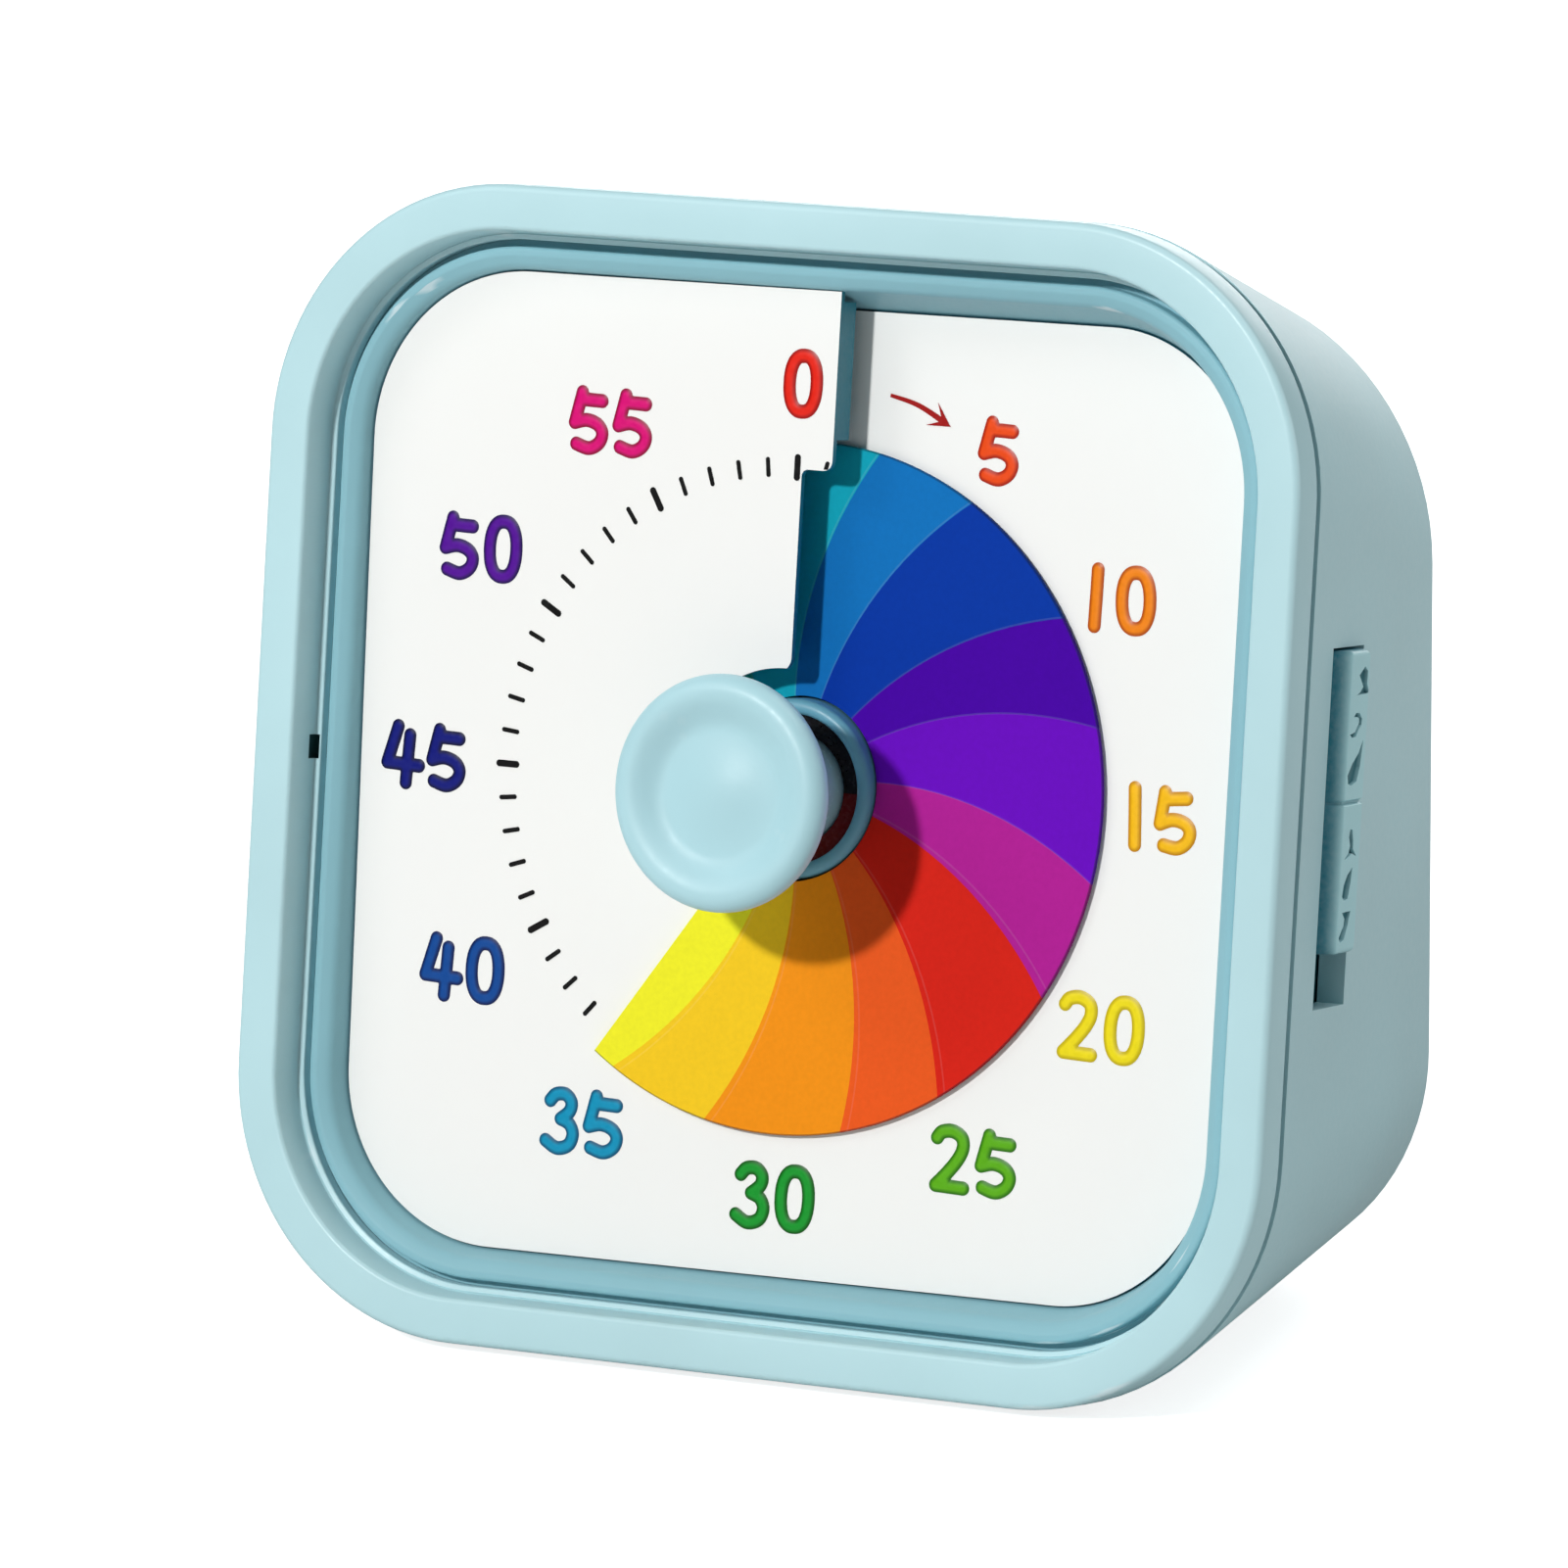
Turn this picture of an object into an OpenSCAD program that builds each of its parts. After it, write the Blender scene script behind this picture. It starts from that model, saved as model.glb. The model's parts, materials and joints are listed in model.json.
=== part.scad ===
// Countdown timer: a leaning square case with a helical dial, a coloured disc that winds
// through a slit in the dial, a turning knob, a volume slider and a battery bay.
// X is to the right, Y runs from the front to the back, Z is up. The case stands on its
// sloped underside, so the face leans back while the back stands upright.

/* [Case] */
// Width and height of the square front
face_w = 84; // [80:0.5:92]
// Radius of the four corners of the front
corner_r = 19; // [17.5:0.5:21]
// Slope of the four sides, and so the lean of the face
lean = 10.4; // [9:0.2:11.4]
// Depth of the case at mid height, square to the face
case_d = 37.2; // [36.6:0.2:40]
// Wall of the rear shell
wall = 2; // [1.6:0.1:2.2]
// Rounding of the outer front edge
edge_r = 0.55; // [0.3:0.05:0.8]
// Rounding of the rear edge
rear_r = 1.4; // [0.8:0.1:1.8]
// Radius lost by the corners over the depth of the shell
corner_loss = 1; // [0.5:0.1:2]

/* [Front frame] */
// Depth of the straight band behind the face
band_d = 3.1; // [2.8:0.1:3.6]
// Width of the flat rim seen from the front
rim_w = 3.2; // [2.8:0.1:3.6]
// How far the inner wall of the rim leans inwards
rim_slope = 1.05; // [0.6:0.05:1.2]
// Depth of the inner wall of the rim
rim_d = 3.2; // [2.8:0.1:3.6]
// Gap at the seam between frame and shell
seam = 0.4; // [0.3:0.05:0.6]
// Reach of the tongue into the shell
tongue_l = 2; // [1.6:0.1:2.2]
// Thickness of the tongue
tongue_t = 1.2; // [0.9:0.1:1.4]

/* [Inner ring] */
// Gap between the frame and the inner ring
ring_gap = 0.35; // [0.3:0.05:0.5]
// Radius of the rounded crest of the ring
crest_r = 0.65; // [0.5:0.05:0.7]
// Depth of the crest below the face
crest_d = 2.85; // [2.6:0.05:3.2]
// Inward lean of the ring's wall, per unit of depth
ring_slope = 0.37; // [0.3:0.01:0.42]
// Depth of the back of the ring
ring_back = 10; // [9.9:0.1:10.4]
// Height of the release notch on the left side
notch_h = 1.8; // [1.2:0.1:3]

/* [Dial] */
// Depth of the dial at 0 minutes
dial_depth = 7.42; // [7.2:0.02:7.6]
// Rise of the dial over 60 minutes
pitch = 3.73; // [3.5:0.01:4]
// Thickness of the printed card
card_t = 0.5; // [0.35:0.05:0.6]
// Thickness of the moulded plate behind the card
plate_t = 1.75; // [1.5:0.05:1.85]
// Room between the disc's edge and the plate around it
plate_gap = 0.5; // [0.4:0.1:0.7]
// Radius of the round hole at the hub
hub_hole_r = 8.7; // [8.2:0.1:9.2]
// Distance of the step in the slit inside the disc's edge
slit_step = 2.2; // [1.4:0.1:2.8]
// Offset of the inner part of the slit from 12 o'clock
slit_inner_x = 0.38; // [0.3:0.02:0.8]
// Offset of the outer part of the slit from 12 o'clock
slit_outer_x = 2.85; // [2.4:0.05:3.4]
// Rounding of the corners at the slit
slit_r = 0.6; // [0.3:0.1:0.9]
// Clearance at the edges of the card
card_gap = 0.12; // [0.05:0.01:0.2]

/* [Disc] */
// Width of the band of numbers, from the disc to the edge of the front
number_band = 17.1; // [16.8:0.1:18]
// Thickness of the disc
disc_t = 0.3; // [0.2:0.05:0.35]
// Clearance between the disc and the card
disc_gap = 0.25; // [0.2:0.05:0.35]
// Time that the disc shows, in minutes
set_minutes = 36; // [36:1:36]
// Outer radius of the collar
collar_r = 6.6; // [6.3:0.1:7]
// Wall of the collar
collar_wall = 1.2; // [0.9:0.1:1.4]
// Depth of the collar's front rim below the face
collar_front = 5.4; // [5.2:0.05:5.6]
// Length of the collar
collar_l = 3.4; // [3:0.1:3.6]
// Length of the web that rides on the stem
web_l = 1.8; // [1.4:0.1:2]

/* [Knob] */
// Radius of the knob's cap
knob_r = 8.6; // [8.2:0.1:9]
// Height of the cap in front of the face
knob_front = 6.05; // [5.8:0.05:6.4]
// Thickness of the cap
cap_t = 3.4; // [3:0.1:3.8]
// Radius of the rounded rim of the cap
rim_r = 1.25; // [1:0.05:1.4]
// Radius of the hollow in the cap
dish_r = 5; // [4.4:0.1:5.6]
// Depth of the hollow in the cap
dish_d = 0.85; // [0.5:0.05:1]
// Radius of the stepped neck
neck_r = 4.95; // [4.7:0.05:5.1]
// Length of the stepped neck
neck_l = 3.6; // [3:0.1:4]
// Radius of the stem
stem_r = 4.1; // [3.8:0.05:4.2]
// Depth of the inner end of the stem
stem_end = 11.2; // [11.1:0.05:11.3]
// Running clearance of the collar on the stem
slide_gap = 0.08; // [0.05:0.01:0.1]
// Radius of the steel spindle
spindle_r = 1.5; // [1.3:0.05:1.6]
// Running clearance of the spindle and the arbors
run_gap = 0.05; // [0.03:0.01:0.08]
// Length of the spindle held in the knob
spindle_grip = 12; // [10:0.5:13]

/* [Movement] */
// Half of the width and height of the movement case
move_h = 14.5; // [14.4:0.1:14.7]
// Depth of the movement's front plate below the face
move_front = 11.6; // [11.5:0.1:11.8]
// Depth of the movement's back
move_back = 20.9; // [20.7:0.1:20.9]
// Wall of the movement case
move_wall = 1; // [0.8:0.1:1.1]
// Depth of the joint between the two halves of the case
move_split = 15.7; // [15.5:0.1:15.8]
// Distance of the two movement screws outside the disc's edge
ear_out = 3.3; // [3.1:0.1:3.6]
// Radius of the round end of each ear
ear_r = 2.6; // [2.4:0.1:2.8]
// Thickness of each ear
ear_t = 1.8; // [1.4:0.1:2]
// Module of the output wheel and the pinion that meshes with it
mod_out = 0.4; // [0.38:0.01:0.4]
// Module of the intermediate wheel and the rotor's pinion
mod_mid = 0.3; // [0.28:0.01:0.3]
// Teeth of the output wheel
teeth_out = 40; // [40:1:40]
// Teeth of both pinions
teeth_pinion = 8; // [8:1:8]
// Teeth of the intermediate wheel
teeth_mid = 30; // [30:1:30]
// Radius of the arbors
arbor_r = 0.5; // [0.4:0.05:0.6]
// Radius of the rotor's magnet
rotor_r = 2.1; // [1.9:0.1:2.2]
// Width of the circuit board
board_w = 40; // [36:1:42]
// Height of the circuit board
board_h = 29; // [26:1:30]
// Thickness of the circuit board
board_t = 1.2; // [0.8:0.1:1.6]
// Radius of the buzzer
buzzer_r = 8; // [6:0.5:8.5]
// Height of the buzzer
buzzer_h = 4.5; // [3.5:0.1:5]

/* [Volume slider] */
// Length of the slider's pad
slider_l = 21.5; // [19:0.5:22]
// Travel of the slider
slider_travel = 3.7; // [3:0.1:4]
// Width of the slot in the shell
slot_w = 7.7; // [7:0.1:8]
// Depth of the slot's centre line behind the face
slot_y = 12.5; // [12.3:0.1:12.8]
// Height of the pad above the side of the case
pad_h = 1.2; // [0.9:0.1:1.2]
// Clearance of the pad in its slot
pad_gap = 0.2; // [0.15:0.05:0.3]
// Height of the slot's upper end above the centre
slot_top = 13.1; // [12:0.1:14]

/* [Foot pads] */
// Radius of the thin pads under the case
foot_r = 2.6; // [2:0.1:3]
// Thickness of the pads
foot_t = 0.7; // [0.5:0.1:0.8]
// How far the pads stand below the case
foot_out = 0.15; // [0.1:0.05:0.2]
// Distance of the pads from the edges of the flat underside
foot_in = 5; // [4:0.2:6]

/* [Battery] */
// Radius of the AA cell
cell_r = 7.25; // [7:0.05:7.25]
// Length of the AA cell without its button
cell_l = 49.3; // [48.5:0.1:49.3]
// Radius of the cell's button
button_r = 2.75; // [2.5:0.05:2.8]
// Length of the cell's button
button_l = 1.2; // [1:0.1:1.4]
// Length of the battery bay
bay_l = 54.6; // [54.2:0.1:55]
// Clearance around the cell
cell_gap = 0.5; // [0.3:0.1:0.6]
// Wall of the battery bay
bay_wall = 1.2; // [1:0.1:1.4]
// Height of the cell's axis, from the dial's centre
cell_z = -26.4; // [-26.6:0.1:-26.2]
// Thickness of the battery lid
lid_t = 1.2; // [1:0.1:1.4]
// Rim of the lid around the bay
lid_rim = 1.3; // [1:0.1:1.4]
// Rounding of the lid's corners
lid_r = 3; // [2:0.2:4]
// Clearance around the lid
lid_gap = 0.2; // [0.15:0.05:0.3]

/* [Screws] */
// Radius of the case screws
screw_r = 1.3; // [1.2:0.05:1.5]
// Radius of the screw heads
head_r = 2.4; // [2.2:0.1:2.6]
// Height of the screw heads
head_h = 1.8; // [1.4:0.1:2]
// Length of the case screws
screw_l = 12; // [10:0.5:13]
// Depth at which the screw heads sit
seat_y = 24.6; // [24:0.1:25.5]
// Depth of the ends of the posts behind the dial
post_end = 20; // [19.6:0.1:20.4]
// Radius of the posts behind the dial
post_r = 3; // [2.8:0.1:3.2]
// Distance of the upper screws from the top and the sides of the front
top_in = 15.6; // [15.4:0.1:15.8]
// Distance of the lower screws from the sides of the front
low_in = 14.2; // [14.1:0.1:14.3]
// Height of the lower screws, from the dial's centre
low_z = -7; // [-7.2:0.1:-6.8]

/* [Hidden] */
$fn = 96;

face_h = face_w / 2;                       // half of the front
taper = tan(lean);                         // inward slope of the sides, per unit of depth
disc_r = face_h - number_band;             // radius of the coloured disc
slit_step_r = disc_r - slit_step;
shell_y = band_d + seam;                   // front edge of the shell
rear_y = case_d * cos(lean);               // upright back plane, in the level frame
under_z = face_h * cos(lean) + shell_y * sin(lean); // dial's centre above the underside
base_z = under_z + foot_out;               // dial's centre above the table
front_y = edge_r * cos(lean) - (face_h - edge_r) * sin(lean) - edge_r; // foremost point
shift_y = -(rear_y + front_y) / 2;         // centres the footprint on the origin

// half of the outer outline and its corner radius at depth y
function side_h(y) = face_h - taper * (y - shell_y);
function side_r(y) = corner_r - corner_loss * (y - shell_y) / case_d;

blue = [0.72, 0.88, 0.91];
steel = [0.75, 0.76, 0.78];
black = [0.12, 0.12, 0.13];
brass = [0.82, 0.68, 0.35];

// leaning frame: the face lies in the plane y = 0, the dial's centre is the origin
module leaning() translate([0, shift_y, base_z]) rotate([-lean, 0, 0]) children();
// level frame: same origin, but Y and Z are those of the table
module level() translate([0, shift_y, base_z]) children();
// cylinder along +Y from y0 to y1
module rod(r, y0, y1, x = 0, z = 0)
    translate([x, y0, z]) rotate([-90, 0, 0]) cylinder(r = r, h = y1 - y0);
// block centred on x and z, from y0 to y1
module block(w, h, y0, y1, x = 0, z = 0)
    translate([x - w / 2, y0, z - h / 2]) cube([w, y1 - y0, h]);
// sweeps a profile (x = distance from the middle, y = depth) round a rounded square
module around(h, r) {
    for (q = [0:3]) rotate([0, 90 * q, 0]) {
        linear_extrude(2 * (h - r), center = true) children();
        translate([h - r, 0, r - h]) rotate([-90, 0, 0])
            rotate_extrude(angle = 90) translate([r - h, 0]) children();
    }
}

// ---- front frame ----
rim_in = face_h - rim_w;                   // inner edge of the rim at the face
lip_in = rim_in - rim_slope;               // inner edge of the rim at its foot
tongue_out = side_h(band_d + tongue_l) - wall - 0.3;
rim_edge = 0.4;                            // rounding of the inner front edge

module frame_profile() {
    polygon([[rim_in + rim_edge, 0], [face_h - edge_r, 0], [face_h, edge_r],
        [face_h, band_d], [tongue_out, band_d], [tongue_out, band_d + tongue_l],
        [tongue_out - tongue_t, band_d + tongue_l], [tongue_out - tongue_t, rim_d + 0.5],
        [lip_in, rim_d + 0.5], [lip_in, rim_d], [rim_in, rim_edge]]);
    translate([face_h - edge_r, edge_r]) circle(r = edge_r);
    translate([rim_in + rim_edge, rim_edge]) circle(r = rim_edge);
}
module front_frame() color(blue) leaning() around(face_h, corner_r) frame_profile();

// ---- inner ring ----
ring_out = lip_in - ring_gap;              // outer edge of the ring's crest
ring_in = ring_out - 2 * crest_r;          // inner edge of the ring's crest
crest_y = crest_d + crest_r;               // depth of the crest's centre
flange_out = tongue_out - tongue_t - 0.15;
flange_y = rim_d + 0.8;
flange_t = 1.4;
notch_w = 0.9;

// half of the opening inside the ring at depth y
function ring_h(y) = ring_in - ring_slope * (y - crest_y);

module ring_profile() {
    polygon([[ring_in, crest_y], [ring_out, crest_y], [ring_out, flange_y],
        [flange_out, flange_y], [flange_out, flange_y + flange_t],
        [ring_out, flange_y + flange_t], [ring_out, ring_back],
        [ring_h(ring_back), ring_back]]);
    translate([ring_out - crest_r, crest_y]) circle(r = crest_r);
}
module inner_ring() color(blue) leaning() difference() {
    around(face_h, corner_r) ring_profile();
    block(2 * notch_w, notch_h, 0, flange_y, -ring_out);
}

// ---- helical dial ----
step_a = 4;                                // angular step of the helical surfaces
under_a = 12;                              // how far the deep end runs under the shallow end
over_a = 12;                               // how far the shallow end may reach past 12 o'clock

// depth of the card's face at an angle clockwise from 12 o'clock
function dial_y(a) = dial_depth - pitch * a / 360;
// distance from the centre to a rounded square, along a ray at angle a
function ray(a, h, r) = let (s = abs(sin(a)), c = abs(cos(a)), flat = h / max(s, c), m = h - r,
    b = m * (s + c)) flat * min(s, c) <= m ? flat : b + sqrt(b * b - 2 * m * m + r * r);

// ramp of even thickness; rows = [angle, front depth, inner radius, outer radius]
module ramp(rows, t) {
    n = len(rows) - 1;
    points = [for (w = rows) for (q = [[w[2], w[1]], [w[3], w[1]], [w[3], w[1] + t],
        [w[2], w[1] + t]]) [q[0] * sin(w[0]), q[1], q[0] * cos(w[0])]];
    sides = [for (i = [0:n - 1]) for (k = [0:3]) let (j = 4 * i, l = (k + 1) % 4)
        each [[j + k, j + l, j + 4 + l], [j + k, j + 4 + l, j + 4 + k]]];
    polyhedron(points, concat([[3, 2, 1, 0]], sides, [[4 * n, 4 * n + 1, 4 * n + 2, 4 * n + 3]]));
}
// outline to the right of the slit, where the shallow end of the dial is cut away
module slit_outline() {
    far = face_h;
    difference() {
        union() {
            translate([slit_outer_x, 0]) square([far, far]);
            translate([slit_inner_x, 0]) square([far, slit_step_r]);
        }
        translate([slit_outer_x - slit_r, slit_step_r]) difference() {
            square([slit_r, slit_r]);
            translate([0, slit_r]) circle(r = slit_r);
        }
    }
}
module slit_cut() translate([0, slit_depth, 0]) rotate([90, 0, 0])
    linear_extrude(slit_depth) slit_outline();
slit_depth = (dial_y(0) + dial_y(360) + card_t + plate_t) / 2; // between the two layers

dial_a = [for (i = [0:ceil((360 + under_a + over_a) / step_a)]) -under_a + i * step_a];

module dial_card() color("white") leaning() difference() {
    ramp([for (a = dial_a) let (h = ring_h(dial_y(a) + card_t) - card_gap)
        [a, dial_y(a), hub_hole_r, ray(a, h, corner_r - face_h + h)]], card_t);
    slit_cut();
}

top_x = face_h - top_in;
low_x = face_h - low_in;
screws = [[top_x, top_x], [-top_x, top_x], [low_x, low_z], [-low_x, low_z]];
ear_z = disc_r + ear_out;
ear_pin = 2.4;                             // radius of the pillars behind the dial
ears = [ear_z, -ear_z];
pilot_r = screw_r + run_gap;
post_root = 0.6;                           // how far each post starts inside the plate

function angle_of(x, z) = (atan2(x, z) + 360) % 360;
function plate_back(a) = dial_y(a) + card_t + plate_t;

module dial_plate() color(blue) leaning() difference() {
    union() {
        difference() {
            ramp([for (a = dial_a) let (y = dial_y(a) + card_t, h = ring_h(y + plate_t) - card_gap)
                [a, y, disc_r + plate_gap, ray(a, h, corner_r - face_h + h)]], plate_t);
            slit_cut();
        }
        for (s = screws)
            rod(post_r, plate_back(angle_of(s[0], s[1])) - post_root, post_end, s[0], s[1]);
        for (z = ears) rod(ear_pin, plate_back(angle_of(0, z)) - post_root, move_front, 0, z);
    }
    for (s = screws) rod(pilot_r, seat_y - screw_l - 0.5, post_end + 1, s[0], s[1]);
    for (z = ears) rod(pilot_r - 0.3, move_front - 2.5, move_front + 1, 0, z);
}

// ---- disc ----
set_a = set_minutes * 6;                   // angle shown by the disc
hub_bore = stem_r + slide_gap;

module rainbow_disc() color("orange") leaning()
    ramp([for (i = [0:90]) let (a = set_a - 360 + 4 * i)
        [a, dial_y(a) - disc_gap - disc_t, collar_r + 0.05, disc_r]], disc_t);

module disc_collar() color(blue) leaning() rotate([-90, 0, 0]) rotate_extrude()
    polygon([[collar_r - collar_wall, collar_front], [collar_r, collar_front],
        [collar_r, collar_front + collar_l], [hub_bore, collar_front + collar_l],
        [hub_bore, collar_front + collar_l - web_l],
        [collar_r - collar_wall, collar_front + collar_l - web_l]]);

// ---- knob ----
module square_from(x0, y0, x1, y1) translate([x0, y0]) square([x1 - x0, y1 - y0]);

cap_back = cap_t - knob_front;
neck_end = cap_back + neck_l;

module knob_profile() {
    rim_x = knob_r - rim_r;
    difference() {
        union() {
            translate([rim_x, rim_r - knob_front]) circle(r = rim_r);
            translate([0, -knob_front]) square([rim_x, cap_t]);
            polygon([[rim_x, rim_r - knob_front], [knob_r, rim_r - knob_front],
                [neck_r, cap_back], [0, cap_back]]);
        }
        // hollow: a flat floor with a sloping wall
        polygon([[-1, -knob_front - 1], [dish_r + 2.2, -knob_front - 1], [dish_r + 1.9, -knob_front],
            [dish_r, dish_d - knob_front], [-1, dish_d - knob_front]]);
    }
    square_from(0, cap_back - 0.1, neck_r, neck_end);
    square_from(0, neck_end - 0.1, stem_r, stem_end);
}
module knob() color(blue) leaning() difference() {
    rotate([-90, 0, 0]) rotate_extrude() intersection() {
        knob_profile();
        square_from(0, -knob_front, knob_r, stem_end);
    }
    rod(spindle_r + 0.02, stem_end - spindle_grip, stem_end + 1);
}
module spindle() color(steel) leaning()
    rod(spindle_r, stem_end - spindle_grip + 0.3, move_back - 0.2);

// ---- movement ----
mid_dist = mod_out * (teeth_out + teeth_pinion) / 2;
rotor_dist = mod_mid * (teeth_mid + teeth_pinion) / 2;
train_a = 225;                             // direction of the train from the spindle
mid_x = mid_dist * cos(train_a);
mid_z = mid_dist * sin(train_a);
rotor_x = mid_x + rotor_dist * cos(train_a);
rotor_z = mid_z + rotor_dist * sin(train_a);
out_y = 16.2;                              // front of the output wheel
out_t = 1.1;
mid_y = 18.1;                              // front of the intermediate wheel
mid_t = 0.8;
plate_y = move_front + 1.2;                // inside of the movement's front plate
move_in = move_h - move_wall;              // half of the room inside the movement

// spur gear: teeth with straight flanks, slimmer than half the pitch
module gear(m, teeth, t, turn = 0) {
    tooth = 360 / teeth;
    root = m * (teeth / 2 - 1.15);
    pitch_r = m * teeth / 2;
    tip = m * (teeth / 2 + 0.75);
    rotate([-90, 0, 0]) linear_extrude(t) rotate(turn) union() {
        circle(r = root);
        for (i = [0:teeth - 1]) rotate(i * tooth) polygon([for (q = [[root * 0.9, 0.27],
            [pitch_r, 0.19], [tip, 0.1], [tip, -0.1], [pitch_r, -0.19], [root * 0.9, -0.27]])
            [q[0] * cos(q[1] * tooth), q[0] * sin(q[1] * tooth)]]);
    }
}
module output_wheel() color(brass) leaning() difference() {
    union() {
        translate([0, out_y, 0]) gear(mod_out, teeth_out, out_t, -train_a);
        rod(2.6, out_y - 1, out_y + out_t + 0.6);
    }
    rod(spindle_r + 0.02, out_y - 2, out_y + out_t + 2);
    for (a = [45:90:315]) rod(1.5, out_y - 1, out_y + out_t + 1, 4.7 * cos(a), 4.7 * sin(a));
}
// a pinion's gap faces the wheel that drives it
module intermediate_wheel() color(brass) leaning() translate([mid_x, 0, mid_z]) difference() {
    union() {
        translate([0, mid_y, 0]) gear(mod_mid, teeth_mid, mid_t, -train_a);
        translate([0, out_y - 0.3, 0])
            gear(mod_out, teeth_pinion, mid_y - out_y + 0.3, -train_a + 180 + 180 / teeth_pinion);
    }
    rod(arbor_r + 0.02, out_y - 2, mid_y + 2);
}
module intermediate_arbor() color(steel) leaning()
    rod(arbor_r, move_front + 0.5, move_back - 0.4, mid_x, mid_z);
module rotor_magnet() color(black) leaning() translate([rotor_x, 0, rotor_z]) difference() {
    union() {
        rod(rotor_r, plate_y + 0.5, mid_y - 1.2);
        rod(mod_mid * 2.9, mid_y - 1.2, mid_y - 0.3);
        translate([0, mid_y - 0.3, 0])
            gear(mod_mid, teeth_pinion, mid_t + 0.6, -train_a + 180 + 180 / teeth_pinion);
    }
    rod(arbor_r + 0.02, plate_y, mid_y + 2);
}
module rotor_arbor() color(steel) leaning()
    rod(arbor_r, move_front + 0.5, move_back - 0.4, rotor_x, rotor_z);

peg_y = 2.4;                               // height of the pegs that carry the circuit board
pegs = [[10, 12], [-10, 12], [10, -6], [-10, -6]];

module bearings(y0, y1) {
    rod(spindle_r + run_gap, y0, y1);
    rod(arbor_r + run_gap, y0, y1, mid_x, mid_z);
    rod(arbor_r + run_gap, y0, y1, rotor_x, rotor_z);
}
module movement_front() color(black) leaning() difference() {
    union() {
        block(2 * move_h, 2 * move_h, move_front, move_split);
        for (z = ears) {
            block(2 * ear_r, ear_z - move_h, move_front, move_front + ear_t, 0,
                sign(z) * (ear_z + move_h) / 2);
            rod(ear_r, move_front, move_front + ear_t, 0, z);
        }
    }
    difference() {
        block(2 * move_in, 2 * move_in, plate_y, move_split + 1);
        for (x = [stator_post, -stator_post]) rod(0.9, plate_y - 1, stator_y, x, coil_z);
    }
    for (z = ears) rod(pilot_r, move_front - 1, move_front + ear_t + 1, 0, z);
    bearings(move_front - 1, move_split);
}
module movement_back() color(black) leaning() difference() {
    union() {
        block(2 * move_h, 2 * move_h, move_split, move_back);
        for (p = pegs) rod(1.6, move_back - 0.5, move_back + peg_y, p[0], p[1]);
    }
    block(2 * move_in, 2 * move_in, move_split - 1, move_back - 1.2);
    bearings(move_split, move_back + 1);
}

stator_y = 14.5;
stator_t = 0.9;
stator_post = 7.4;
coil_z = -11.3;
coil_r = 1.9;
coil_l = 11;

module stator() color(steel) leaning() difference() {
    intersection() {
        block(2 * move_in - 0.4, 2 * move_in - 0.4, stator_y, stator_y + stator_t);
        union() {
            block(2 * stator_post + 2.4, 1.4, stator_y, stator_y + stator_t, 0, coil_z);
            rod(rotor_r + 1.3, stator_y, stator_y + stator_t, rotor_x + 0.6, rotor_z);
        }
    }
    rod(rotor_r + 0.25, stator_y - 1, stator_y + 2, rotor_x, rotor_z);
}
module drive_coil() color("peru") leaning() difference() {
    translate([-coil_l / 2, stator_y + stator_t / 2, coil_z]) rotate([0, 90, 0])
        cylinder(r = coil_r, h = coil_l);
    block(coil_l + 2, 1.5, stator_y - 0.05, stator_y + stator_t + 0.05, 0, coil_z);
}

board_y = move_back + peg_y;
board_z = 5.5;                             // centre of the circuit board
chip_w = 5;
chip_h = 1.2;
can_r = 1.6;                               // radius and height of the capacitor
can_h = 2.6;
buzzer_x = 6;
buzzer_z = 5;

module circuit_board() color("darkgreen") leaning() union() {
    block(board_w, board_h, board_y, board_y + board_t, 0, board_z);
    block(chip_w, chip_w, board_y + board_t, board_y + board_t + chip_h, -chip_w * 2.2,
        board_z + board_h / 4);
    rod(can_r, board_y + board_t, board_y + board_t + can_h, -board_w / 3, board_z - can_r * 2);
}
module buzzer() color(black) leaning() difference() {
    rod(buzzer_r, board_y + board_t, board_y + board_t + buzzer_h, buzzer_x, buzzer_z);
    rod(1.2, board_y + board_t + buzzer_h - 1, board_y + board_t + buzzer_h + 1,
        buzzer_x, buzzer_z);
}

// ---- volume slider on the right side ----
wall_n = wall * cos(lean);                 // wall measured square to its face
slot_h = slider_l + slider_travel + 2 * pad_gap;
slot_z = slot_top - slot_h / 2;
pad_z = slot_top - pad_gap - slider_l / 2; // pad at the upper end of its travel
flange_l = slot_h + slider_travel + 1;
flange_th = 0.8;
lever_w = 1.6;

// frame on the right side: x is the distance out of the side, z is along the face
module on_side() translate([side_h(slot_y), slot_y, 0]) rotate([0, 0, lean]) children();

pad_w = slot_w - 2 * pad_gap;
lip_w = 1;                                 // lip of the slider behind the shell
room_x = -wall_n - 0.2 - flange_th;        // inner face of that lip
switch_d = 4.2;
switch_l = 14;
switch_x = room_x - switch_d;              // inner face of the switch
lever_y = 1.1;                             // lever and switch sit behind the slot's middle
switch_y0 = lever_y - lever_w / 2 - 0.9;
switch_y1 = 5.3;
rib_t = 1.2;
mark_r = 1.1;

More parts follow.
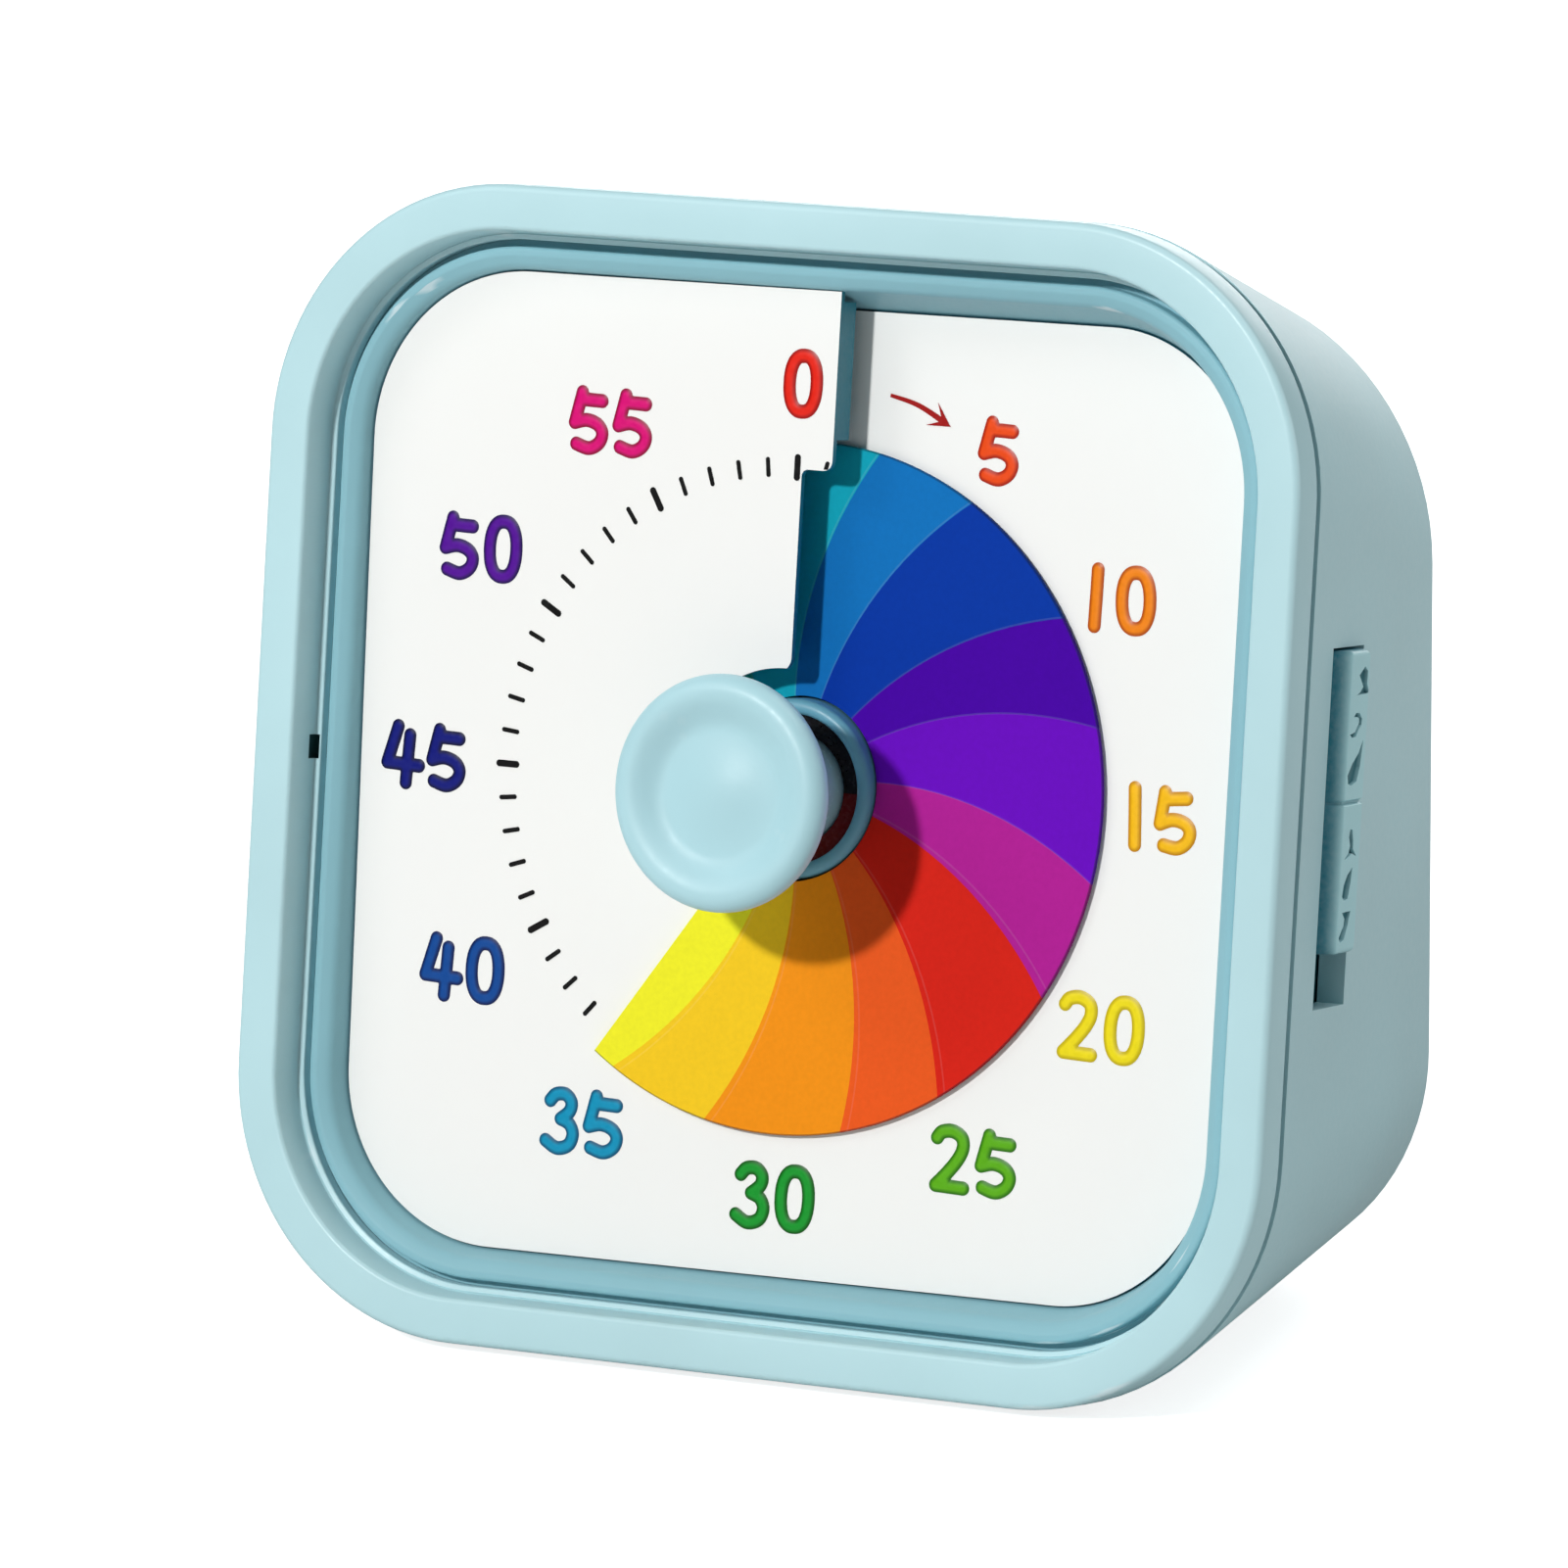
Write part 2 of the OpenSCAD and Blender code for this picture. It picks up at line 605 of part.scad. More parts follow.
// rounded bar along the face, seen from outside
module pad_outline(w, l) rotate([90, 0, 90]) linear_extrude(wall_n + 3) union() {
    square([w, l - w * 0.5], center = true);
    square([w * 0.5, l], center = true);
    for (i = [-1, 1]) for (k = [-1, 1])
        translate([i * w / 4, k * (l / 2 - w / 4)]) circle(r = w / 4);
}
module volume_slider() color(blue) leaning() on_side() difference() {
    union() {
        intersection() {
            translate([-wall_n - 0.3, 0, pad_z]) pad_outline(pad_w, slider_l);
            translate([0, 0, pad_z - slider_l / 2]) linear_extrude(slider_l)
                polygon([[-wall_n - 0.3, -pad_w / 2], [0.2, -pad_w / 2],
                    [pad_h * 0.85, 0.5 - pad_w / 2], [pad_h, 1.1 - pad_w / 2],
                    [pad_h, pad_w / 2 - 2.2], [pad_h * 0.6, pad_w / 2 - 0.6],
                    [0.1, pad_w / 2], [-wall_n - 0.3, pad_w / 2]]);
        }
        translate([room_x, -pad_w / 2 - lip_w, pad_z - flange_l / 2])
            cube([flange_th, pad_w + 2 * lip_w, flange_l]);
        translate([room_x - 2, lever_y - lever_w / 2, pad_z - lever_w / 2])
            cube([2.2, lever_w, lever_w]);
    }
    // shallow groove and two dished marks
    translate([pad_h + 0.5, -pad_w, pad_z]) rotate([0, 45, 0])
        cube([1.2, 2 * pad_w, 1.2], center = false);
    for (k = [-1, 1]) translate([pad_h + mark_r * 2.6, 0, pad_z + k * slider_l * 0.3])
        sphere(r = mark_r * 2.8);
}
module slide_switch() color(black) leaning() on_side() difference() {
    translate([switch_x, switch_y0, pad_z - (slider_travel + switch_l) / 2])
        cube([switch_d - 0.3, switch_y1 - switch_y0, switch_l]);
    translate([room_x - 2.4, lever_y - lever_w / 2 - 0.3,
        pad_z - slider_travel - lever_w / 2 - 0.4])
        cube([3, lever_w + 0.6, slider_travel + lever_w + 0.8]);
}
// arm and back plate of the shell that hold the switch
module switch_holder() on_side() translate([0, 0, pad_z - (slider_travel + switch_l) / 2]) {
    translate([switch_x - rib_t, switch_y1, 0])
        cube([rib_t - switch_x - wall_n / 2, rib_t, switch_l]);
    translate([switch_x - rib_t, switch_y0, 0])
        cube([rib_t, switch_y1 - switch_y0 + 0.5, switch_l]);
}

// ---- rear shell ----
corner_n = 20;                             // points round each corner

// ring of points of the shell's outline, in the upright plane at depth d (at mid height)
function sloped_ring(d, inset) = [for (q = [0:3]) for (i = [0:corner_n])
    let (a = 90 * (q + i / corner_n), c = 90 * q + 45, loss = corner_loss / case_d,
        sx = sign(cos(c)), sz = sign(sin(c)), r0 = corner_r - inset, m = face_h - corner_r,
        dm = loss - taper,
        z0 = sz * m + r0 * sin(a), dz = sz * dm - loss * sin(a),
        k = (d - shell_y - taper * z0) / (1 + taper * dz))
    [sx * (m + dm * k) + (r0 - loss * k) * cos(a), shell_y + k, z0 + dz * k]];
// ring of points at a constant depth
function flat_ring(y, inset) = [for (q = [0:3]) for (i = [0:corner_n])
    let (a = 90 * (q + i / corner_n), c = 90 * q + 45, r = side_r(y) - inset,
        m = side_h(y) - side_r(y))
    [sign(cos(c)) * m + r * cos(a), y, sign(sin(c)) * m + r * sin(a)]];
module loft(rings) {
    n = len(rings[0]);
    last = (len(rings) - 1) * n;
    sides = [for (k = [0:len(rings) - 2]) for (i = [0:n - 1]) let (j = (i + 1) % n, b = k * n)
        each [[b + i, b + j, b + n + j], [b + i, b + n + j, b + n + i]]];
    polyhedron([for (g = rings) each g],
        concat([[for (i = [n - 1:-1:0]) i]], sides, [[for (i = [0:n - 1]) last + i]]));
}

bay_top = cell_z + cell_r + cell_gap;
bay_floor = cell_z - cell_r - cell_gap;
bay_h = bay_top - bay_floor;
cell_y = rear_y - lid_t - 0.6 - cell_r;
bay_front = cell_y - cell_r - cell_gap;
lid_w = bay_l + 2 * lid_rim;
lid_h = bay_h + 2 * lid_rim;
boss_r = 4.2;
// centres of the foot pads, in the level frame
feet = [for (y = [shell_y * cos(lean) - face_h * sin(lean) + foot_in, rear_y - rear_r - foot_in])
    for (s = [-1, 1]) let (d = y * cos(lean) + under_z * sin(lean))
    [s * (side_h(d) - side_r(d) - foot_in), y]];
hole_r = 0.8;                              // sound holes

module rear_shell() color(blue) {
    difference() {
        union() {
            leaning() difference() {
                loft(concat([flat_ring(shell_y, 0)],
                    [for (a = [0:22.5:90]) sloped_ring(case_d - rear_r * (1 - sin(a)),
                        rear_r * (1 - cos(a)))]));
                loft([flat_ring(shell_y - 1, wall), sloped_ring(case_d - wall, wall)]);
            }
            // bosses for the case screws
            leaning() for (s = screws)
                rod(boss_r, post_end + 0.2, case_d - wall / 2 - taper * s[1], s[0], s[1]);
            leaning() switch_holder();
            // battery bay
            level() block(bay_l + 2 * bay_wall, bay_h + 2 * bay_wall, bay_front - bay_wall,
                rear_y - wall / 2, 0, cell_z);
        }
        leaning() for (s = screws) {
            rod(screw_r + 0.2, post_end - 1, case_d + 9, s[0], s[1]);
            rod(head_r + 0.4, seat_y, case_d + 9, s[0], s[1]);
        }
        level() {
            block(bay_l, bay_h, bay_front, rear_y + 1, 0, cell_z);
            lid_plate(lid_w, lid_h, lid_r, rear_y - lid_t, rear_y + 1);
            translate([0, rear_y - lid_t, cell_z + lid_h / 2]) rotate([-90, 0, 0])
                cylinder(r = notch_r, h = lid_t + 1);
        }
        leaning() {
            on_side() translate([-wall_n - 1, -slot_w / 2, slot_z - slot_h / 2])
                cube([wall_n + 3, slot_w, slot_h]);
            for (a = [0:60:300]) rod(hole_r, case_d - 6, case_d + 3, buzzer_x + 4 * cos(a),
                buzzer_z + 4 * sin(a));
            rod(hole_r, case_d - 6, case_d + 3, buzzer_x, buzzer_z);
        }
        // shallow seats of the foot pads
        level() for (f = feet) translate([f[0], f[1], -under_z - 1])
            cylinder(r = foot_r + 0.15, h = 1 + foot_t - foot_out, $fn = 48);
    }
}
notch_r = 4;                               // finger notch above the lid

// ---- battery ----
cell_x = bay_l / 2 - 0.75 - cell_l - button_l; // left end of the cell
grip_w = 16;
grip_step = 1.8;

// plate with rounded corners, centred on the battery bay
module lid_plate(w, h, r, y0, y1) {
    block(w - 2 * r, h, y0, y1, 0, cell_z);
    block(w, h - 2 * r, y0, y1, 0, cell_z);
    for (i = [-1, 1]) for (k = [-1, 1])
        rod(r, y0, y1, i * (w / 2 - r), cell_z + k * (h / 2 - r));
}
module battery_cell() color("silver") level() translate([cell_x, cell_y, cell_z])
    rotate([0, 90, 0]) union() {
        cylinder(r = cell_r, h = cell_l);
        cylinder(r = button_r, h = cell_l + button_l);
    }
module battery_lid() color(blue) level() difference() {
    lid_plate(lid_w - 2 * lid_gap, lid_h - 2 * lid_gap, lid_r - lid_gap, rear_y - lid_t + 0.1,
        rear_y);
    // grip grooves
    for (i = [1:4]) block(grip_w, grip_step / 2, rear_y - 0.4, rear_y + 1, 0,
        cell_z + lid_h / 2 - 1.2 - grip_step * i);
}
module foot_pad(i) color("gray") level() translate([feet[i][0], feet[i][1], -base_z])
    cylinder(r = foot_r, h = foot_t, $fn = 48);
module contact_plate() color(steel) level()
    block(0.5, 11, cell_y - 5.5, cell_y + 5.5, bay_l / 2 - 0.35, cell_z);

spring_wire = 0.3;
spring_turns = 4;
spring_r0 = 2;
spring_r1 = 4.5;
spring_l = cell_x + bay_l / 2 - 2 * spring_wire - 0.15;
module contact_spring() color(steel) level() {
    steps = 16 * spring_turns;
    sides = 6;
    x0 = -bay_l / 2 + spring_wire + 0.05;
    rows = [for (i = [0:steps]) let (u = i / steps, a = 360 * spring_turns * u,
        r = spring_r1 + (spring_r0 - spring_r1) * u) [for (k = [0:sides - 1])
        let (b = 360 * k / sides, s = r + spring_wire * cos(b))
        [x0 + spring_l * u + spring_wire * sin(b), cell_y + s * cos(a), cell_z + s * sin(a)]]];
    tube(rows);
}
module tube(rows) {
    n = len(rows[0]);
    m = len(rows) - 1;
    polyhedron([for (g = rows) each g], concat([[for (k = [0:n - 1]) k]],
        [for (i = [0:m - 1]) for (k = [0:n - 1]) let (l = (k + 1) % n)
            each [[i * n + l, i * n + k, i * n + n + k], [i * n + l, i * n + n + k, i * n + n + l]]],
        [[for (k = [n - 1:-1:0]) m * n + k]]));
}

// ---- screws ----
module screw(r, l, y, x, z, big) difference() {
    union() {
        rod(r, y - l, y + 0.1, x, z);
        rod(big, y, y + head_h, x, z);
    }
    for (a = [0, 90]) translate([x, y + head_h - 0.9, z]) rotate([0, a, 0])
        block(2.6, 0.6, 0, 2);
}
module case_screw(i) color(steel) leaning()
    screw(screw_r, screw_l, seat_y, screws[i][0], screws[i][1], head_r);
module movement_screw(i) color(steel) leaning()
    screw(screw_r - 0.35, 4, move_front + ear_t, 0, ears[i], 2);

front_frame();
rear_shell();
inner_ring();
dial_plate();
dial_card();
knob();
spindle();
output_wheel();
rainbow_disc();
disc_collar();
intermediate_wheel();
intermediate_arbor();
rotor_magnet();
rotor_arbor();
movement_front();
movement_back();
stator();
drive_coil();
circuit_board();
buzzer();
slide_switch();
volume_slider();
battery_cell();
battery_lid();
contact_plate();
contact_spring();
case_screw(0);  // case_screw_1
case_screw(1);  // case_screw_2
case_screw(2);  // case_screw_3
case_screw(3);  // case_screw_4
movement_screw(0);  // movement_screw_1
movement_screw(1);  // movement_screw_2
foot_pad(0);  // foot_pad_1
foot_pad(1);  // foot_pad_2
foot_pad(2);  // foot_pad_3
foot_pad(3);  // foot_pad_4
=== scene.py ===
import bpy
import bmesh
import json
import numpy as np
from math import atan2, copysign, cos, degrees, pi, radians, sin, sqrt, tan
from mathutils import Vector, Matrix
from mathutils.geometry import delaunay_2d_cdt


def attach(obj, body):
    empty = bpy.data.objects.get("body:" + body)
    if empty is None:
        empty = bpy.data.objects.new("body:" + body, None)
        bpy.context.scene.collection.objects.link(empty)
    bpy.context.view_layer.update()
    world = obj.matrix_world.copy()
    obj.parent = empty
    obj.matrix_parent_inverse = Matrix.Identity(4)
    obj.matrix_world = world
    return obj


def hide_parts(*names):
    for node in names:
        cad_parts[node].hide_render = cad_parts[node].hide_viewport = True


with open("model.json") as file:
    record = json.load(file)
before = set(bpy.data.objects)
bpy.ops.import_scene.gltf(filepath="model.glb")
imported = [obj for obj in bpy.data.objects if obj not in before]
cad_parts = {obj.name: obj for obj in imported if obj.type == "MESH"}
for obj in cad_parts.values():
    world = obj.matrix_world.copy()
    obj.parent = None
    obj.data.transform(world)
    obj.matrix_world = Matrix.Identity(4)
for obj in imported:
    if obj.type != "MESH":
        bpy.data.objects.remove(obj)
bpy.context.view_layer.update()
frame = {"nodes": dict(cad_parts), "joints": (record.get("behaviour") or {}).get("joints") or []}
nodes = frame["nodes"]
joints = {joint["name"]: joint for joint in frame["joints"]}
print("frame loaded,", len(nodes), "nodes")

# the leaning face: x to the right, y into the case, z up the face, in mm from the dial's centre
mm = 0.001
hub = Vector(joints["knob_turn"]["pos_m"])
deep = Vector(joints["knob_turn"]["axis"]).normalized()
across = Vector((1, 0, 0))
rise = across.cross(deep)


def place(x, y, z):
    return hub + mm * (x * across + y * deep + z * rise)


# x and z at a radius and an angle in degrees, clockwise from 12
def onDial(radius, angle):
    return radius * sin(radians(angle)), radius * cos(radians(angle))


# materials
finishLook = {"cloud": 55, "metalCloud": 180, "rubAndHighlight": (0.52, 0.62), "deepRelief": 0.0001, "fineRelief": 0.00005}
white = (1, 1, 1, 1)
black = (0, 0, 0, 1)


def newMaterial(name, specular=None):
    material = bpy.data.materials.new(name)
    material.use_nodes = True
    tree = material.node_tree
    tree.nodes.clear()
    out = tree.nodes.new("ShaderNodeOutputMaterial")
    shader = tree.nodes.new("ShaderNodeBsdfPrincipled")
    tree.links.new(shader.outputs[0], out.inputs[0])
    if specular is not None:
        shader.inputs["Specular IOR Level"].default_value = specular
    return material, tree, shader


def srgb(red, green, blue):
    def linear(v):
        v /= 255
        return v / 12.92 if v <= 0.04045 else ((v + 0.055) / 1.055) ** 2.4
    return (linear(red), linear(green), linear(blue), 1)


def node(tree, kind, **settings):
    made = tree.nodes.new("ShaderNode" + kind)
    for key, value in settings.items():
        if key in made.inputs:
            made.inputs[key].default_value = value
        else:
            setattr(made, key, value)
    return made


# sets a socket to a value, or links it to another socket
def feed(tree, socket, value):
    if isinstance(value, (int, float, tuple)):
        socket.default_value = value
    else:
        tree.links.new(value, socket)


def calc(tree, operation, *values):
    made = node(tree, "Math", operation=operation)
    for socket, value in zip(made.inputs, values):
        feed(tree, socket, value)
    return made.outputs[0]


def grainNoise(tree, scale, detail=2.0, stretch=(1, 1, 1)):
    where = node(tree, "TexCoord")
    shape = node(tree, "Mapping")
    shape.inputs["Scale"].default_value = stretch
    noise = node(tree, "TexNoise", Scale=scale, Detail=detail)
    tree.links.new(where.outputs["Object"], shape.inputs["Vector"])
    tree.links.new(shape.outputs["Vector"], noise.inputs["Vector"])
    return noise.outputs["Fac"]


# maps a value's usual range to low and high
def spread(tree, source, low, high, fromLow=0.3, fromHigh=0.7):
    made = node(tree, "MapRange")
    for key, value in (("From Min", fromLow), ("From Max", fromHigh), ("To Min", low), ("To Max", high)):
        made.inputs[key].default_value = value
    tree.links.new(source, made.inputs["Value"])
    return made.outputs[0]


def blendColour(tree, factor, first, second):
    made = node(tree, "Mix", data_type="RGBA", blend_type="MIX")
    for socket, value in zip((made.inputs[0], made.inputs[6], made.inputs[7]), (factor, first, second)):
        feed(tree, socket, value)
    return made.outputs[2]


def shade(colour, amount):
    return tuple(min(1.0, max(0.0, c * amount)) for c in colour[:3]) + (1,)


# a value kept on the mesh's points
def attribute(tree, name):
    return node(tree, "Attribute", attribute_name=name).outputs["Fac"]


# gives a shader its colour, its roughness and, with a height, a fine relief
def surface(tree, shader, tone, rough, height=None, strength=0.0, relief=finishLook["fineRelief"]):
    tree.links.new(tone, shader.inputs["Base Color"])
    tree.links.new(rough, shader.inputs["Roughness"])
    if height is not None:
        bumpNode = node(tree, "Bump", Strength=strength, Distance=relief)
        tree.links.new(height, bumpNode.inputs["Height"])
        tree.links.new(bumpNode.outputs[0], shader.inputs["Normal"])


# moulded plastic; convex edges turn paler by the amount edge, partly as rubbed wear and partly as a painted highlight
# along the edges
def moulded(name, colour, roughness=0.5, grain=2400, bump=0.05, mottle=0.03, edge=0.0, specular=None):
    material, tree, shader = newMaterial(name, specular)
    cloud = grainNoise(tree, finishLook["cloud"], 3)
    fine = grainNoise(tree, grain, 3)
    tone = blendColour(tree, spread(tree, cloud, 0, 1), shade(colour, 1 - mottle), shade(colour, 1 + mottle))
    geometry = node(tree, "NewGeometry")
    rubAndHighlight = spread(tree, geometry.outputs["Pointiness"], 0, edge, *finishLook["rubAndHighlight"])
    tone = blendColour(tree, rubAndHighlight, tone, white)
    rough = calc(tree, "ADD", spread(tree, fine, -0.05, 0.05), spread(tree, cloud, roughness - 0.03, roughness + 0.03))
    surface(tree, shader, tone, rough, fine, bump, finishLook["deepRelief"])
    return material


def metalFinish(name, colour, roughness=0.3, stretch=(1, 1, 1), grain=1500, bump=0.1):
    material, tree, shader = newMaterial(name)
    shader.inputs["Metallic"].default_value = 1
    cloud = grainNoise(tree, finishLook["metalCloud"], 3)
    fine = grainNoise(tree, grain, 2, stretch)
    tone = blendColour(tree, spread(tree, cloud, 0, 1), shade(colour, 0.9), shade(colour, 1.05))
    surface(tree, shader, tone, spread(tree, fine, roughness - 0.07, roughness + 0.1), fine, bump)
    return material


# meshes
easeAngle = 40


def linked(name, data):
    made = bpy.data.objects.new(name, data)
    bpy.context.scene.collection.objects.link(made)
    return made


# makes a piece of a mesh, or of points, faces and values
def finishMesh(name, shape, body, material, stands=(), sharp=30):
    mesh = meshFrom(name, *shape) if isinstance(shape, tuple) else shape
    for polygon in mesh.polygons:
        polygon.use_smooth = True
    mesh.set_sharp_from_angle(angle=radians(sharp))
    mesh.materials.clear()
    mesh.materials.append(material)
    piece = linked(name, mesh)
    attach(piece, body)
    if stands:
        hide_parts(*stands)
    return piece


def meshFrom(name, points, faces, values=None):
    mesh = bpy.data.meshes.new(name)
    mesh.from_pydata([place(*spot) for spot in points], [], faces)
    for key, amounts in (values or {}).items():
        layer = mesh.attributes.new(key, "FLOAT", "POINT")
        layer.data.foreach_set("value", amounts)
    work = bmesh.new()
    work.from_mesh(mesh)
    bmesh.ops.recalc_face_normals(work, faces=work.faces)
    work.to_mesh(mesh)
    work.free()
    return mesh


# rounds the corners (x, y, radius) of a closed outline
def rounded(corners, steps=6):
    out = []
    count = len(corners)
    for i, (x, y, radius) in enumerate(corners):
        corner = Vector((x, y))
        if radius == 0:
            out.append((x, y))
            continue
        a = (Vector(corners[i - 1][:2]) - corner).normalized()
        b = (Vector(corners[(i + 1) % count][:2]) - corner).normalized()
        half = a.angle(b) / 2
        middle = corner + (a + b).normalized() * (radius / sin(half))
        start = corner + a * (radius / tan(half)) - middle
        end = corner + b * (radius / tan(half)) - middle
        first = atan2(start.y, start.x)
        turn = (atan2(end.y, end.x) - first + pi) % (2 * pi) - pi
        for k in range(steps + 1):
            angle = first + turn * k / steps
            out.append((middle.x + radius * cos(angle), middle.y + radius * sin(angle)))
    return out


# the skin over a row of closed loops of equal counts: shut by its ends, or closed into a ring
def skin(loops, ring=False):
    rows, count = len(loops), len(loops[0])
    faces = []
    for i in range(rows if ring else rows - 1):
        a, b = i * count, (i + 1) % rows * count
        faces += [(a + k, a + (k + 1) % count, b + (k + 1) % count, b + k) for k in range(count)]
    if not ring:
        faces += [tuple(range(count)), tuple((rows - 1) * count + k for k in range(count))]
    return [spot for loop in loops for spot in loop], faces


# a box between three pairs of limits, with its corners put in place by a function
def block(first, second, third, put=lambda *spot: spot):
    points = [put(a, b, c) for a in first for b in second for c in third]
    return points, [(0, 1, 3, 2), (4, 6, 7, 5), (0, 4, 5, 1), (2, 3, 7, 6), (0, 2, 6, 4), (1, 5, 7, 3)]


def joined(shapes):
    points, faces = [], []
    for morePoints, moreFaces in shapes:
        faces += [tuple(len(points) + i for i in face) for face in moreFaces]
        points += morePoints
    return points, faces


# sweeps a closed outline (u = distance from the middle, y = depth) round the square
def sweepSquare(outline, cornerSteps=28):
    centre = caseLook["cornerCentre"]
    loops = []
    for quarter in range(4):
        diagonal = radians(90 * quarter + 45)
        sx, sz = copysign(1, cos(diagonal)), copysign(1, sin(diagonal))
        for k in range(cornerSteps + 1):
            angle = radians(90 * quarter + 90 * k / cornerSteps)
            loops.append([(sx * centre + (u - centre) * cos(angle), y, sz * centre + (u - centre) * sin(angle))
                          for u, y in outline])
    return skin(loops, ring=True)


# turns an outline (radius, depth) about the dial's axis; ends on the axis close up
def turned(outline, steps=144, closed=False):
    points, faces = [], []
    rows = []
    for radius, y in outline:
        onAxis = radius < 1e-6
        count = 1 if onAxis else steps
        rows.append(list(range(len(points), len(points) + count)))
        for k in range(count):
            x, z = onDial(0 if onAxis else radius, 360 * k / steps)
            points.append((x, y, z))
    pairs = list(zip(rows, rows[1:])) + ([(rows[-1], rows[0])] if closed else [])
    for low, high in pairs:
        for k in range(steps):
            m = (k + 1) % steps
            if len(low) == 1:
                faces.append((low[0], high[k], high[m]))
            elif len(high) == 1:
                faces.append((low[k], low[m], high[0]))
            else:
                faces.append((low[k], low[m], high[m], high[k]))
    return points, faces


def easeEdges(piece, width):
    bevel = piece.modifiers.new("ease", "BEVEL")
    bevel.width = width * mm
    bevel.segments = 2
    return bevel


# a welded, smooth-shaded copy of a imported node, with its edges eased
def easedCopy(nodeName, pieceName, body, material, ease=0.0, sharp=32):
    weld, flat = 4e-6, 0.4
    mesh = nodes[nodeName].data.copy()
    if "custom_normal" in mesh.attributes:
        mesh.attributes.remove(mesh.attributes["custom_normal"])
    work = bmesh.new()
    work.from_mesh(mesh)
    bmesh.ops.remove_doubles(work, verts=work.verts, dist=weld)
    bmesh.ops.dissolve_limit(work, angle_limit=radians(flat), verts=work.verts, edges=work.edges)
    work.to_mesh(mesh)
    work.free()
    piece = finishMesh(pieceName, mesh, body, material, [nodeName], sharp)
    if ease:
        bevel = easeEdges(piece, ease)
        bevel.limit_method = "ANGLE"
        bevel.angle_limit = radians(easeAngle)
        bevel.harden_normals = True


# cuts a closed shape out of a piece
def cutAway(piece, points, faces):
    cutter = linked("cutter", meshFrom("cutter", points, faces))
    modifier = piece.modifiers.new("cut", "BOOLEAN")
    modifier.operation = "DIFFERENCE"
    modifier.solver = "EXACT"
    modifier.object = cutter
    graph = bpy.context.evaluated_depsgraph_get()
    made = bpy.data.meshes.new_from_object(piece.evaluated_get(graph))
    piece.modifiers.remove(modifier)
    piece.data = made
    bpy.data.objects.remove(cutter)


# gives a second finish to the faces picked by a test of their corners and their normal
def dressPart(piece, material, test):
    piece.data.materials.append(material)
    for polygon in piece.data.polygons:
        offsets = [(piece.data.vertices[i].co - hub) / mm for i in polygon.vertices]
        spots = [[offset.dot(axis) for axis in (across, deep, rise)] for offset in offsets]
        facing = [polygon.normal.dot(axis) for axis in (across, deep, rise)]
        if test(spots, facing):
            polygon.material_index = 1


# case
caseLook = {
    "faceColour": srgb(186, 223, 229), "ringColour": srgb(141, 190, 201),
    "shellColour": srgb(179, 216, 222), "notchShadeColour": srgb(44, 92, 98),
    "cornerCentre": 23.0,
}
shellFinish = {"roughness": 0.46, "grain": 1900, "bump": 0.12}
# the face's and the second rim's edge amounts paint highlight lines along their rounded edges and the rim's lip
facePlastic = moulded("facePlastic", caseLook["faceColour"], roughness=0.40, edge=0.25)
ringPlastic = moulded("ringPlastic", caseLook["ringColour"], edge=0.4, specular=0.22)
shellPlastic = moulded("shellPlastic", caseLook["shellColour"], **shellFinish)
notchShadePlastic = moulded("notchShadePlastic", caseLook["notchShadeColour"])

# the rim's outline as (half width, depth, rounding)
frameLook = {
    "face": [(38.72, 0, 0.34), (42, 0, 0.55), (42, 3.1, 0.3)],
    "tongue": [(39.41, 3.1, 0), (39.41, 5.1, 0.2), (38.21, 5.1, 0.2), (38.21, 3.9, 0)],
    "wallFoot": [(38.02, 3.9, 0), (38.02, 3.06, 0.14), (38.4, 2.96, 0), (38.44, 3.03, 0), (38.54, 2.9, 0)],
}
frontFrame = finishMesh("frontFrame", sweepSquare(rounded(sum(frameLook.values(), []))),
                        "housing", facePlastic, ["front_frame"])

# the second rim: its outline likewise, and its inner wall's half width at the crest and loss per mm
ringLook = {
    "outline": [(35.98, 3.3, 0.9), (36.85, 2.85, 0.5), (37.5, 2.85, 0.3), (37.5, 4, 0.1), (38.06, 4, 0.1),
                (38.06, 5.4, 0.1), (37.4, 5.4, 0), (37.4, 10, 0.2), (33.695, 10, 0.2), (35.78, 4.37, 0)],
    "crestFront": 2.85, "wallHalf": 36.34, "wallSlope": 0.3699,
}
finishMesh("innerRing", sweepSquare(rounded(ringLook["outline"])),
           "housing", ringPlastic, ["inner_ring"])

# small slot at the foot of the wall, on the left; its inside is painted dark, as painted shade in the hollow
notchLook = {"from": -38.95, "to": -38.14, "front": 2.3, "back": 4.9, "low": -0.78, "high": 0.98, "slack": 0.01}


def inNotch(spots, facing):
    look = notchLook
    return all(look["from"] - look["slack"] < x < look["to"] + look["slack"]
               and look["low"] - look["slack"] < z < look["high"] + look["slack"] for x, y, z in spots)


cutAway(frontFrame, *block((notchLook["from"], notchLook["to"]), (notchLook["front"], notchLook["back"]),
                           (notchLook["low"], notchLook["high"])))
dressPart(frontFrame, notchShadePlastic, inNotch)
easedCopy("rear_shell", "rearShell", "housing", shellPlastic)
print("case done")

# dial
dialLook = {
    "card": srgb(246, 246, 243), "edge": srgb(32, 124, 142), "ink": srgb(28, 27, 30),
    "depthAtZero": 7.42, "pitch": 3.73, "thickness": 0.5, "hubHole": 8.7, "wallGap": 0.02,
    "tabEdge": 0.38, "tabEdgeOutside": 2.85, "tabStep": 23.0, "tabCorner": 0.7,
    "printLift": 0.03, "printRoot": 0.05,
    "tickRadius": 23.1, "tick": (1.45, 0.35), "fifthTick": (1.92, 0.51), "tickCore": 0.2, "tickEndSteps": 5,
}
